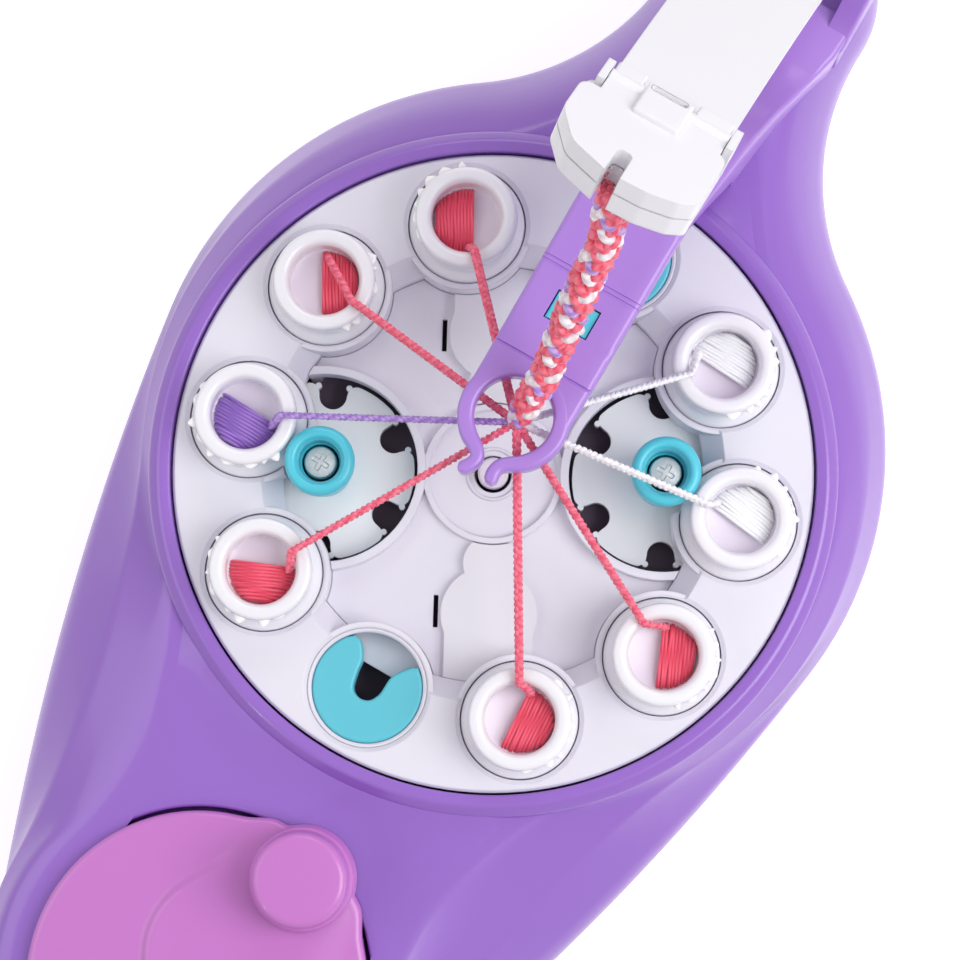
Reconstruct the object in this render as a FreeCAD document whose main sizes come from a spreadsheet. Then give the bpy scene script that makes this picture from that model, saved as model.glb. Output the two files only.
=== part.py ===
import FreeCAD, Part
import math
import os
import Sketcher
from FreeCAD import Placement, Rotation, Vector

# A hand-cranked kumihimo braiding machine. Millimetres. The origin is on the turntable's axis at
# the level of the surface that the feet rest on. +Y runs back to the tail, -Y forward to the crank.

UP = Vector(0, 0, 1)
SIDEWAYS = Vector(1, 0, 0)
UP_TO_SIDEWAYS = Rotation(UP, SIDEWAYS)

# Driving dimensions: spreadsheet alias, value, what it is
DRIVING = [
    ("table_diameter", 150.0, "white turntable, outside"),
    ("table_top", 52.0, "height of the turntable's upper face"),
    ("floor_top", 43.0, "height of the sunken floor between the pockets"),
    ("deck_top", 33.0, "height of the dark deck that carries the turntable"),
    ("annulus_bore", 99.0, "inner edge of the pocket ring"),
    ("pocket_circle", 117.0, "diameter of the circle of pocket centres"),
    ("pocket_diameter", 27.8, "bore of one pocket"),
    ("pocket_count", 10.0, "pockets round the ring"),
    ("pocket_wall", 1.5, "wall and floor of one pocket"),
    ("rotor_spacing", 80.0, "distance between the two star wheels' axes"),
    ("rotor_angle", 28.2, "direction of the right star wheel, degrees from +X"),
    ("star_diameter", 42.6, "star wheel, outside"),
    ("star_top", 41.0, "height of the star wheels' upper face"),
    ("star_thickness", 3.0, "star wheel plate"),
    ("frame_bore", 44.4, "round opening above each star wheel"),
    ("frame_outside", 48.4, "raised ring round that opening"),
    ("frame_top", 47.0, "height of the raised ring"),
    ("cup_diameter", 16.4, "teal cup on a star wheel"),
    ("cup_top", 63.0, "height of the teal cup"),
    ("spool_top", 63.0, "height of a spool's rim when it sits in its pocket"),
    ("spool_rim", 23.2, "outside of the spool's rim"),
    ("spool_bore", 16.1, "bore of the spool"),
    ("spool_flange", 26.4, "flange that sits in the pocket"),
    ("seat_diameter", 25.6, "teal seat in an empty pocket"),
    ("gear_module", 1.5, "crank train"),
    ("crank_teeth", 30.0, "gear on the crank shaft"),
    ("idler_teeth", 32.0, "idler between crank and turntable"),
    ("table_teeth", 88.0, "gear under the turntable"),
    ("sun_module", 1.25, "star wheel train"),
    ("sun_teeth", 40.0, "fixed gear on the centre post"),
    ("planet_teeth", 24.0, "gear on each star wheel's shaft"),
    ("gear_bottom", 21.0, "underside of every gear"),
    ("gear_thickness", 7.0, "face width of every gear"),
    ("backlash", 0.24, "play between meshing teeth, along the pitch circle"),
    ("post_diameter", 12.0, "centre post"),
    ("rotor_shaft", 8.0, "star wheel shaft"),
    ("crank_shaft", 9.0, "crank shaft"),
    ("idler_pin", 8.0, "idler axle"),
    ("lever_pin", 4.0, "hinge pin of the take-up lever"),
    ("running_gap", 0.05, "radial clearance of a shaft in its bearing"),
    ("loose_gap", 0.6, "gap round parts that only pass each other"),
    ("crank_diameter", 78.4, "crank disc"),
    ("crank_top", 54.0, "height of the crank disc's upper face"),
    ("recess_floor", 41.0, "floor of the recess for the crank disc"),
    ("knob_offset", 34.0, "knob axis from the crank axis"),
    ("knob_angle", 16.0, "direction of the knob at rest, degrees from +Y towards +X"),
    ("knob_diameter", 24.2, "flange of the knob"),
    ("knob_top", 68.0, "height of the knob's crown"),
    ("ring_back", 9.5, "guide ring's centre behind the turntable's axis"),
    ("ring_bore", 17.6, "guide ring, inside"),
    ("ring_width", 3.8, "width of the ring's bar"),
    ("arm_bottom", 84.0, "underside of the guide arm"),
    ("arm_thickness", 6.0, "guide arm and ring"),
    ("arm_width", 24.4, "guide arm behind the ring"),
    ("arm_foot_width", 44.0, "guide arm over the tail"),
    ("pivot_back", 145.0, "take-up lever's pivot behind the turntable's axis"),
    ("pivot_height", 66.0, "height of that pivot"),
    ("strap_end_back", 67.0, "far end of the lever's strap, behind the turntable's axis"),
    ("strap_end_height", 155.0, "height of the strap's far end"),
    ("strap_rise", 7.0, "how far the strap bows outwards"),
    ("strap_width", 27.0, "lever's strap"),
    ("strap_thickness", 3.2, "lever's strap"),
    ("clip_width", 31.2, "hinge of the braid clip"),
    ("body_radius", 90.3, "housing round the turntable, where it is widest"),
    ("body_back", 10.0, "centre of that round behind the turntable's axis"),
    ("flank_radius", 600.0, "nearly straight flank from there to the front"),
    ("front_radius", 54.0, "housing round the crank"),
    ("front_ahead", 130.0, "centre of that round before the turntable's axis"),
    ("tail_radius", 26.0, "rounded end of the tail"),
    ("tail_back", 138.0, "centre of the tail's round"),
    ("neck_radius", 60.0, "hollow between the round body and the tail"),
    ("shell_thickness", 2.5, "wall of the housing"),
    ("shell_bottom", 3.0, "lower edge of the housing"),
    ("shelf_height", 38.0, "flat seat for the guide arm on the tail"),
    ("thread_diameter", 1.8, "one thread"),
    ("braid_diameter", 8.0, "finished braid"),
    ("knot_diameter", 6.8, "lump where the threads cross"),
    ("screw_thread", 3.0, "every self-tapping screw, shank"),
    ("screw_head", 5.6, "every self-tapping screw, head"),
    ("screw_head_height", 1.4, "every self-tapping screw, head"),
    ("foot_diameter", 14.0, "rubber foot"),
    ("foot_thickness", 2.0, "rubber foot"),
    ("pin_length", 43.0, "hinge pin of the take-up lever"),
    ("clip_pin", 2.0, "hinge pin of the clip's lid"),
    ("window_width", 10.9, "window in the guide arm, across"),
    ("window_length", 7.1, "window in the guide arm, along"),
    ("window_back", 35.55, "middle of that window behind the turntable's axis"),
]

doc = FreeCAD.newDocument("braider")
sheet = doc.addObject("Spreadsheet::Sheet", "Sizes")
for row, (alias, value, meaning) in enumerate(DRIVING, start=1):
    sheet.set(f"A{row}", meaning)
    sheet.set(f"B{row}", str(value))
    sheet.setAlias(f"B{row}", alias)
doc.recompute()


class Size:
    """A length with the spreadsheet formula that gives it."""

    def __init__(self, number, formula):
        self.number = number
        self.formula = formula

    def __float__(self):
        return self.number

    def __add__(self, other):
        return Size(self.number + float(other), f"({self.formula} + {formula(other)})")

    def __sub__(self, other):
        return Size(self.number - float(other), f"({self.formula} - {formula(other)})")

    def __mul__(self, other):
        return Size(self.number * float(other), f"({self.formula} * {formula(other)})")

    def __truediv__(self, other):
        return Size(self.number / float(other), f"({self.formula} / {formula(other)})")

    def __neg__(self):
        return Size(-self.number, f"(0 - {self.formula})")


def formula(value):
    """The text that stands for a size or a plain number in an expression."""
    return value.formula if isinstance(value, Size) else repr(float(value))


class Sizes:
    """Every driving dimension as an attribute, read back from the spreadsheet."""

    def __init__(self):
        for alias, _, _ in DRIVING:
            setattr(self, alias, Size(float(sheet.get(alias)), f"Sizes.{alias}"))


s = Sizes()
pieces = {}


# Helpers


def bind(obj, prop, value):
    """Set a property, and tie it to the sheet where the value comes from there."""
    if isinstance(value, Size):
        obj.setExpression(prop, value.formula)


def keep(obj, label):
    """Name a finished sub-part."""
    obj.Label = label
    pieces[label] = obj
    return obj


def polar(radius, degrees, height=0.0):
    angle = math.radians(degrees)
    return Vector(float(radius) * math.cos(angle), float(radius) * math.sin(angle), float(height))


def cylinder(radius, height, place):
    """A round bar; its axis is the Z direction of place."""
    bar = doc.addObject("Part::Cylinder", "Cylinder")
    bar.Radius, bar.Height = float(radius), float(height)
    bar.Placement = place
    bind(bar, "Radius", radius)
    bind(bar, "Height", height)
    return bar


def box(length, width, height, middle):
    """A block with middle at the centre of its underside."""
    block = doc.addObject("Part::Box", "Box")
    block.Length, block.Width, block.Height = float(length), float(width), float(height)
    block.Placement.Base = middle - Vector(float(length) / 2, float(width) / 2, 0)
    for prop, value in (("Length", length), ("Width", width), ("Height", height)):
        bind(block, prop, value)
    return block


def fuse(first, second):
    joined = doc.addObject("Part::Fuse", "Fuse")
    joined.Base, joined.Tool = first, second
    joined.Refine = True
    return joined


def cut(base, tool):
    result = doc.addObject("Part::Cut", "Cut")
    result.Base, result.Tool = base, tool
    result.Refine = True
    return result


def group(members):
    """Equal pieces that share one file."""
    together = doc.addObject("Part::Compound", "Group")
    together.Links = members
    return together


def solid(shape):
    """A feature that holds a shape worked out here from the sheet's sizes."""
    feature = doc.addObject("Part::Feature", "Solid")
    feature.Shape = shape
    return feature


def turned(profile, place=Placement()):
    """A turned piece: a closed profile of (radius, height) points swept round the vertical axis."""
    body = doc.addObject("PartDesign::Body", "Turned")
    upright = [f for f in body.Origin.OriginFeatures if f.Role == "XZ_Plane"][0]
    sketch = body.newObject("Sketcher::SketchObject", "Profile")
    sketch.AttachmentSupport = (upright, [""])
    sketch.MapMode = "FlatFace"
    count = len(profile)
    corners = [Vector(float(radius), float(height), 0) for radius, height in profile]
    for i in range(count):
        sketch.addGeometry(Part.LineSegment(corners[i], corners[(i + 1) % count]), False)
    for i in range(count):
        sketch.addConstraint(Sketcher.Constraint("Coincident", i, 2, (i + 1) % count, 1))
    for i, (radius, height) in enumerate(profile):
        for kind, value in (("DistanceX", radius), ("DistanceY", height)):
            number = sketch.addConstraint(Sketcher.Constraint(kind, -1, 1, i, 1, float(value)))
            bind(sketch, f"Constraints[{number}]", value)
    turn = body.newObject("PartDesign::Revolution", "Turn")
    turn.Profile = sketch
    turn.ReferenceAxis = (sketch, ["V_Axis"])
    turn.Angle = 360
    body.Placement = place
    return body


def screw(place, length, direction):
    """A self-tapping screw with its head's face at place and its shank along direction (1 up, -1 down)."""
    head, shank = s.screw_head / 2, s.screw_thread / 2
    seat = s.screw_head_height * direction
    end = seat + length * direction
    blank = turned([(0.0, 0.0), (head, 0.0), (head, seat), (shank, seat), (shank, end), (0.0, end)],
                   Placement(place, Rotation()))
    slot_depth = 0.6
    slot_foot = place if direction > 0 else place - UP * slot_depth
    return cut(blank, box(s.screw_head * 0.6, 0.8, slot_depth, slot_foot))


def try_round(shape, radius, chosen):
    """Round the edges that chosen picks; a shape that takes no rounding keeps its sharp edges."""
    try:
        result = shape.makeFillet(radius, [edge for edge in shape.Edges if chosen(edge)])
    except Exception as trouble:
        print("  not rounded:", trouble)
        return shape
    return result if result.isValid() and result.Volume > 0.9 * shape.Volume else shape


def loop(points, radii):
    """A closed wire through points, each corner rounded by its radius (0 leaves it sharp)."""
    count = len(points)
    edges = []
    ends = []
    for i, corner in enumerate(points):
        before = (points[i - 1] - corner).normalize()
        after = (points[(i + 1) % count] - corner).normalize()
        half = before.getAngle(after) / 2
        reach = radii[i] / math.tan(half) if radii[i] else 0.0
        start, end = corner + before * reach, corner + after * reach
        if radii[i]:
            inward = (before + after).normalize()
            middle = corner + inward * (radii[i] / math.sin(half) - radii[i])
            edges.append(Part.Arc(start, middle, end).toShape())
        ends.append((start, end))
    for i in range(count):
        start, end = ends[i][1], ends[(i + 1) % count][0]
        if start.distanceToPoint(end) > 1e-6:
            edges.append(Part.LineSegment(start, end).toShape())
    return Part.Wire(Part.__sortEdges__(edges))


def slab(points, radii, travel):
    """The rounded loop swept straight along travel."""
    return Part.Face(loop(points, radii)).extrude(travel)


def drop(first, first_radius, second, second_radius, height):
    """An upright bar round two circles of one level, with straight sides that touch both."""
    span = second - first
    lean = math.asin((first_radius - second_radius) / span.Length)
    along = span.normalize()
    across = Vector(-along.y, along.x, 0)
    left = along * math.sin(lean) + across * math.cos(lean)
    right = along * math.sin(lean) - across * math.cos(lean)
    edges = [
        Part.LineSegment(first + left * first_radius, second + left * second_radius),
        Part.Arc(second + left * second_radius, second + along * second_radius, second + right * second_radius),
        Part.LineSegment(second + right * second_radius, first + right * first_radius),
        Part.Arc(first + right * first_radius, first - along * first_radius, first + left * first_radius),
    ]
    return Part.Face(Part.Wire([edge.toShape() for edge in edges])).extrude(UP * height)


def gear_face(teeth, module, phase):
    """Spur gear outline with involute flanks at 20 degrees, one tooth centred on phase (degrees)."""
    pitch = teeth * module / 2
    base = pitch * math.cos(math.radians(20))
    tip = pitch + module
    root = pitch - 1.25 * module
    flank = max(base, root)

    def involute(radius):
        angle = math.acos(min(1.0, base / radius))
        return math.tan(angle) - angle

    at_pitch = math.pi / (2 * teeth) - float(s.backlash) / (4 * pitch)

    def half_angle(radius):
        return at_pitch + involute(pitch) - involute(max(radius, base))

    def point(radius, angle):
        return Vector(radius * math.cos(angle), radius * math.sin(angle), 0)

    edges = []
    for i in range(teeth):
        centre = math.radians(phase) + 2 * math.pi * i / teeth
        following = centre + 2 * math.pi / teeth
        for side in (-1, 1):
            radii = [flank, (flank + tip) / 2, tip]
            ends = [point(radius, centre + side * half_angle(radius)) for radius in radii]
            edges.append(Part.Arc(*ends).toShape())
            if flank > root:
                foot = point(root, centre + side * half_angle(base))
                edges.append(Part.LineSegment(foot, ends[0]).toShape())
        lands = [point(tip, centre + k * half_angle(tip)) for k in (-1, 0, 1)]
        edges.append(Part.Arc(*lands).toShape())
        rest = half_angle(flank)
        middle = point(root, (centre + following) / 2)
        edges.append(Part.Arc(point(root, centre + rest), middle, point(root, following - rest)).toShape())
    return Part.Face(Part.Wire(Part.__sortEdges__(edges)))


def gear(teeth, module, phase, bore, place):
    """A gear of the common face width at place, with a round bore."""
    bottom, width = float(s.gear_bottom), float(s.gear_thickness)
    blank = gear_face(int(float(teeth)), float(module), phase).extrude(UP * width)
    blank = blank.cut(Part.makeCylinder(float(bore), width))
    blank.translate(place + UP * bottom)
    return blank


def tube(points, radius):
    """A round cord along straight runs joined by tangent arcs; returns the solid and its length."""
    edges = []
    last = points[0]
    for i in range(1, len(points) - 1):
        corner = points[i]
        back, ahead = points[i - 1] - corner, points[i + 1] - corner
        half = back.getAngle(ahead) / 2
        reach = 0.45 * min(back.Length, ahead.Length)
        bend = reach * math.tan(half)
        back.normalize()
        ahead.normalize()
        start, end = corner + back * reach, corner + ahead * reach
        middle = corner + (back + ahead).normalize() * (bend / math.sin(half) - bend)
        edges.append(Part.LineSegment(last, start).toShape())
        edges.append(Part.Arc(start, middle, end).toShape())
        print(f"  bend radius {bend:.1f}")
        last = end
    edges.append(Part.LineSegment(last, points[-1]).toShape())
    path = Part.Wire(edges)
    section = Part.Wire(Part.Circle(points[0], points[1] - points[0], radius).toShape())
    body = path.makePipeShell([section], True, False)
    expected = math.pi * radius ** 2 * path.Length
    print(f"  length {path.Length:.1f}, volume {body.Volume:.1f} against {expected:.1f}")
    return body


# Places shared by several sub-parts

table_radius = s.table_diameter / 2
gear_top = s.gear_bottom + s.gear_thickness
idler_front = -(s.gear_module * (s.table_teeth + s.idler_teeth) / 2)
crank_front = idler_front - s.gear_module * (s.idler_teeth + s.crank_teeth) / 2
rotor_places = {
    "right": polar(s.rotor_spacing / 2, float(s.rotor_angle)),
    "left": polar(s.rotor_spacing / 2, float(s.rotor_angle) + 180),
}
pocket_step = 360 / float(s.pocket_count)
pocket_angles = [pocket_step * (i + 0.5) for i in range(int(float(s.pocket_count)))]
seat_angles = {"rear": 90.0, "front": 270.0}
spool_angles = {
    letter: angle
    for letter, angle in zip("ghabcdef", [a for a in pocket_angles if a not in seat_angles.values()])
}
crank_centre = Vector(0, float(crank_front), 0)
knob_centre = crank_centre + polar(s.knob_offset, 90 - float(s.knob_angle))
ring_centre = Vector(0, float(s.ring_back), 0)
pivot = Vector(0, float(s.pivot_back), float(s.pivot_height))


# Housing


# The plan's rounds: body radius and centre, flank radius (negative where the flank is hollow), front
# radius and centre, neck radius, tail radius
WIDEST = (float(s.body_radius), float(s.body_back), float(s.flank_radius), float(s.front_radius),
          -float(s.front_ahead), float(s.neck_radius), float(s.tail_radius))
CREASE = (86.0, 5.0, -230.0, 52.5, -133.0, 66.0, 21.0)
PLATEAU = (80.0, 0.0, -70.0, 47.5, crank_centre.y, 74.0, 15.0)
# The housing's outside from its lower edge to its top: height, inset, rounds
LEVELS = [(float(s.shell_bottom), 5.0, WIDEST), (16.0, 1.5, WIDEST), (30.0, 0.0, WIDEST),
          (42.0, 0.0, CREASE), (50.0, 0.0, PLATEAU)]


def mirror(point):
    return Vector(-point.x, point.y, point.z)


def between(start, end, centre, radius):
    """The middle of the short arc from start to end."""
    return centre + ((start + end) * 0.5 - centre).normalize() * radius


def meeting(first, first_reach, second, second_reach):
    """The point with x above 0 at these distances from two points of the Y axis."""
    gap = second.y - first.y
    along = (gap ** 2 + first_reach ** 2 - second_reach ** 2) / (2 * gap)
    return Vector(math.sqrt(first_reach ** 2 - along ** 2), first.y + along, first.z)


def outline(rounds, inset, height):
    """The housing's plan outline, drawn in by inset, as a wire of eight tangent arcs."""
    big, big_y, flank, front, front_y, neck, tail = rounds
    big, flank, front, neck, tail = big - inset, flank - inset, front - inset, neck + inset, tail - inset
    big_centre, front_centre = Vector(0, big_y, height), Vector(0, front_y, height)
    tail_centre = Vector(0, float(s.tail_back), height)
    # The flank touches both front rounds, from inside where it is hollow
    flank_centre = meeting(big_centre, abs(flank - big), front_centre, abs(flank - front))
    if flank > 0:
        flank_centre = mirror(flank_centre)
    sense = math.copysign(1.0, flank)
    flank_top = big_centre + (big_centre - flank_centre).normalize() * (big * sense)
    flank_end = front_centre + (front_centre - flank_centre).normalize() * (front * sense)
    # The neck's hollow touches the big round and the tail's round
    neck_centre = meeting(big_centre, big + neck, tail_centre, tail + neck)
    shoulder = big_centre + (neck_centre - big_centre).normalize() * big
    waist = tail_centre + (neck_centre - tail_centre).normalize() * tail
    right = [(flank_end, between(flank_end, flank_top, flank_centre, abs(flank)), flank_top),
             (flank_top, between(flank_top, shoulder, big_centre, big), shoulder),
             (shoulder, between(shoulder, waist, neck_centre, neck), waist)]
    edges = [Part.Arc(waist, tail_centre + Vector(0, tail, 0), mirror(waist)).toShape()]
    for start, middle, end in reversed(right):
        edges.append(Part.Arc(mirror(end), mirror(middle), mirror(start)).toShape())
    edges.append(Part.Arc(mirror(flank_end), front_centre - Vector(0, front, 0), flank_end).toShape())
    edges += [Part.Arc(*ends).toShape() for ends in right]
    return Part.Wire(edges)


# Screw bosses: round the turntable, round the crank and in the tail
BOSS_ANGLES = (38.0, 142.0, 212.0, 328.0)
BOSS_CIRCLE = 79.5
FRONT_BOSS_ANGLES = (222.0, 318.0)
FRONT_BOSS_CIRCLE = 38.0
TAIL_BOSS = (9.0, 120.0)
HEAD_FACE = 2.5
# Where the pit for the arm's foot begins, and the screws that hold the foot
SHELF_FRONT = 86.5
ARM_SCREWS = [(-12.0, 100.0), (12.0, 100.0), (-13.0, 140.0), (13.0, 140.0)]


def boss_places():
    round_table = [polar(BOSS_CIRCLE, angle) for angle in BOSS_ANGLES]
    round_crank = [crank_centre + polar(FRONT_BOSS_CIRCLE, angle) for angle in FRONT_BOSS_ANGLES]
    in_tail = [Vector(side * TAIL_BOSS[0], TAIL_BOSS[1], 0) for side in (-1, 1)]
    return round_table + round_crank + in_tail


def housing_form(wall=0.0):
    """The housing's outside as a solid, or the hollow that a wall of this thickness leaves in it."""
    wires = [outline(rounds, inset + wall, height if rounds is WIDEST else height - wall)
             for height, inset, rounds in LEVELS]
    return Part.makeLoft(wires, True, True)


def upper_shell():
    wall = float(s.shell_thickness)
    top = LEVELS[-1][0]
    outside, cavity = housing_form(), housing_form(wall)
    cavity.translate(UP * -0.1)
    shell = outside.cut(cavity)
    # Collar round the turntable
    bore = float(table_radius) + float(s.loose_gap)
    collar = turned_shape([(bore, 40.0), (bore + 2.2, 40.0), (bore + 2.2, 45.0), (bore + 5.2, 45.0),
                           (bore + 5.0, 50.4), (bore + 3.6, 52.6), (bore + 1.4, 53.4), (bore, 52.8)])
    # Recess for the crank disc
    recess = float(s.crank_diameter) / 2 + float(s.loose_gap)
    floor = float(s.recess_floor)
    dish = Part.makeCylinder(recess + 2.2, top - floor + wall, crank_centre + UP * (floor - wall))
    dish = dish.common(outside)
    bosses = Part.makeCompound([Part.makeCylinder(3.2, top - 6.1, p + UP * 6.1) for p in boss_places()])
    bosses = bosses.common(outside)
    # Pit in the tail for the guide arm's foot, with a flat seat
    shelf = float(s.shelf_height)
    block = arm_plan(0.4 + wall).common(Part.makeBox(120, 90, 30, Vector(-60, SHELF_FRONT - 2.0, shelf - wall)))
    shell = shell.fuse([dish, bosses, block.common(outside)])
    shell = shell.cut(Part.makeCylinder(bore, 60, UP * 20))
    shell = shell.fuse(collar)
    shell = shell.cut(Part.makeCylinder(recess, 40, crank_centre + UP * floor))
    shell = shell.cut(Part.makeCylinder(6.5, 20, crank_centre + UP * (floor - 10)))
    shell = shell.cut(arm_plan(0.4).common(Part.makeBox(120, 90, 30, Vector(-60, SHELF_FRONT, shelf))))
    pilots = [Part.makeCylinder(1.5, 15.9, p + UP * 6.1) for p in boss_places()]
    pilots += [Part.makeCylinder(1.5, 10.0, Vector(x, y, shelf - 8.0)) for x, y in ARM_SCREWS]
    return solid(shell.cut(pilots).removeSplitter())


def turned_shape(profile):
    """A solid of revolution about the vertical axis from (radius, height) points."""
    corners = [Vector(radius, 0, height) for radius, height in profile]
    face = Part.Face(Part.makePolygon(corners + corners[:1]))
    return face.revolve(Vector(0, 0, 0), UP, 360)


def base_tray():
    edge = LEVELS[0][1]
    flange = Part.Face(outline(WIDEST, edge + 0.7, 2.0)).extrude(UP * 1.0)
    plug_face = Part.Face(outline(WIDEST, edge + 2.9, 3.0))
    plug = plug_face.extrude(UP * 3.0)
    inside = Part.Face(outline(WIDEST, edge + 5.5, 4.5)).extrude(UP * 2.0)
    tray = flange.fuse(plug).cut(inside)
    pads = Part.makeCompound([Part.makeCylinder(5.0, 1.6, p + UP * 4.4) for p in boss_places()])
    pads = pads.common(plug_face.extrude(UP * 6.0))
    crank_foot = Part.makeCylinder(9.0, 13.0, crank_centre + UP * 4.0)
    tray = tray.fuse([pads, crank_foot])
    shaft_hole = Part.makeCylinder(float(s.crank_shaft / 2 + s.running_gap), 20, crank_centre + UP * 5.0)
    holes = [Part.makeCylinder(float(s.screw_thread) / 2 + 0.2, 10, p + UP * 1.0) for p in boss_places()]
    seat = HEAD_FACE + float(s.screw_head_height)
    sinks = [Part.makeCylinder(float(s.screw_head) / 2 + 0.4, seat - 2.0, p + UP * 2.0) for p in boss_places()]
    return solid(tray.cut(holes + sinks + [shaft_hole]).removeSplitter())


def housing_screws():
    return group([screw(place + UP * HEAD_FACE, 14.0, 1) for place in boss_places()])


def rubber_feet():
    places = [Vector(0, 0, 0)] + [polar(72, angle) for angle in (60, 120, 200, 340)]
    places += [crank_centre + polar(34, angle) for angle in (240, 300)]
    places += [Vector(0, 132, 0)]
    radius, thickness = s.foot_diameter / 2, s.foot_thickness
    profile = [(0.0, 0.0), (radius - 0.7, 0.0), (radius, 0.7), (radius, thickness), (0.0, thickness)]
    return group([turned(profile, Placement(place, Rotation())) for place in places])


# Drive train


def sun_post():
    """Fixed post that the turntable turns on, with the star wheels' fixed gear moulded round it."""
    bearing = float(s.post_diameter) / 2
    post = turned_shape([(2.6, 6.0), (2.6, 4.5), (16.0, 4.5), (16.0, 7.5), (9.0, 9.5), (9.0, 29.0),
                         (bearing, 29.0), (bearing, 38.0), (4.0, 38.0), (4.0, 6.0)])
    teeth = gear(s.sun_teeth, s.sun_module, float(s.rotor_angle), 8.0, Vector())
    return solid(post.fuse(teeth).removeSplitter())


def crank_gear():
    hub = Part.makeCylinder(9.0, 2.0, crank_centre + UP * float(gear_top))
    hub = hub.cut(Part.makeCylinder(float(s.crank_shaft) / 2, 10, crank_centre + UP * float(gear_top)))
    teeth = gear(s.crank_teeth, s.gear_module, 90.0, s.crank_shaft / 2, crank_centre)
    return solid(teeth.fuse(hub).removeSplitter())


def idler_gear():
    centre = Vector(0, float(idler_front), 0)
    phase = 90.0 + 180.0 / float(s.idler_teeth)
    bore = s.idler_pin / 2 + s.running_gap
    teeth = gear(s.idler_teeth, s.gear_module, phase, bore, centre)
    bottom = float(s.gear_bottom) - 1.5
    hub = Part.makeCylinder(8.0, float(s.gear_thickness) + 3.0, centre + UP * bottom)
    hub = hub.cut(Part.makeCylinder(float(bore), 20, centre + UP * bottom))
    return solid(teeth.fuse(hub).removeSplitter())


def idler_axle():
    pin = s.idler_pin / 2
    return turned([(0.0, 4.5), (10.0, 4.5), (10.0, 8.0), (s.idler_pin, 9.0), (s.idler_pin, s.gear_bottom - 1.7),
                   (pin, s.gear_bottom - 1.7), (pin, 32.0), (0.0, 32.0)],
                  Placement(Vector(0, float(idler_front), 0), Rotation()))


def crank_shaft():
    shaft = s.crank_shaft / 2
    return turned([(0.0, 5.2), (shaft, 5.2), (shaft, s.crank_top - 3.0), (0.0, s.crank_top - 3.0)],
                  Placement(crank_centre, Rotation()))


def crank_bush():
    shaft = s.crank_shaft / 2 + s.running_gap
    floor = s.recess_floor
    return turned([(shaft, floor - 6.0), (6.5, floor - 6.0), (6.5, floor), (9.5, floor), (9.5, floor + 1.2),
                   (shaft, floor + 1.2)], Placement(crank_centre, Rotation()))


# The broad end of the raised arm on the crank disc
SWELL = (3.6, -127.4)
SWELL_RADIUS = 20.0


def crank_disc():
    """Round disc with a raised drop-shaped arm that carries the knob over the housing's edge."""
    radius, top = float(s.crank_diameter) / 2, float(s.crank_top)
    underside, web = 43.0, top - 3.2
    lobe = float(s.knob_diameter) / 2 + 0.4
    disc = Part.makeCylinder(radius, top - underside, crank_centre + UP * underside)
    disc = try_round(disc, 1.0, lambda edge: edge.BoundBox.ZMin > top - 0.01)
    raised = drop(Vector(*SWELL, 0), SWELL_RADIUS, Vector(knob_centre), lobe, 4.4)
    raised = try_round(raised, 0.9, lambda edge: edge.BoundBox.ZMin > 4.39)
    raised.translate(UP * (top - 3.2))
    hollow = turned_shape([(10.0, 42.0), (radius - 2.5, 42.0), (radius - 2.5, web), (10.0, web)])
    hollow.translate(crank_centre)
    shaft = Part.makeCylinder(float(s.crank_shaft) / 2, top - 3.0 - 42.0, crank_centre + UP * 42.0)
    pin = Part.makeCylinder(2.0, 20.0, knob_centre + UP * (top - 5.0))
    return solid(disc.fuse(raised).cut([hollow, shaft, pin]).removeSplitter())


def knob_pin():
    top = float(s.crank_top) + 1.2
    pin = turned([(0.0, top - 3.6), (2.0, top - 3.6), (2.0, s.knob_top - 4.0), (4.0, s.knob_top - 4.0),
                  (4.0, s.knob_top - 2.8), (0.0, s.knob_top - 2.8)], Placement(knob_centre, Rotation()))
    return pin


def knob():
    """Grip with a wide foot; it turns on the pin, and the cap closes it."""
    foot = float(s.crank_top) + 1.6
    flange, grip, bore = s.knob_diameter / 2, s.knob_diameter / 2 - 1.6, 2.0 + s.running_gap.number
    body = turned([(bore, foot), (flange - 0.8, foot), (flange, foot + 0.8), (flange, foot + 2.4),
                   (flange - 0.8, foot + 3.2), (grip, foot + 4.0), (grip - 0.4, s.knob_top - 2.0),
                   (6.2, s.knob_top - 2.0), (6.2, s.knob_top - 4.5), (bore, s.knob_top - 4.5)],
                  Placement(knob_centre, Rotation()))
    return body


def knob_cap():
    grip = s.knob_diameter / 2 - 2.0
    top = s.knob_top
    return turned([(0.0, top - 1.0), (0.0, top), (5.0, top - 0.2), (grip - 1.4, top - 0.9), (grip, top - 1.9),
                   (6.1, top - 1.9), (6.1, top - 2.4), (4.6, top - 2.4), (4.6, top - 1.0)],
                  Placement(knob_centre, Rotation()))


# Turntable


def carrier_deck():
    top = float(s.deck_top)
    bore = float(s.post_diameter / 2 + s.running_gap)
    deck = turned_shape([(bore, 29.2), (10.0, 29.2), (10.0, 30.0), (73.0, 30.0), (73.0, top), (10.0, top),
                         (10.0, 38.4), (bore, 38.4)])
    for place in rotor_places.values():
        deck = deck.fuse(Part.makeCylinder(7.5, 3.0, place + UP * top))
        deck = deck.cut(Part.makeCylinder(float(s.rotor_shaft / 2 + s.running_gap), 20, place + UP * 25))
    holes = [Part.makeCylinder(1.5, 8, polar(62.0, a) + UP * 27) for a in range(0, 360, 60)]
    return solid(deck.cut(holes).removeSplitter())


def table_gear():
    teeth = gear(s.table_teeth, s.gear_module, -90.0, 60.0, Vector())
    rim = turned_shape([(60.0, float(gear_top)), (64.0, float(gear_top)), (64.0, 30.0), (60.0, 30.0)])
    holes = [Part.makeCylinder(1.5, 8, polar(62.0, a) + UP * 24) for a in range(0, 360, 60)]
    return solid(teeth.fuse(rim).cut(holes).removeSplitter())


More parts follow.
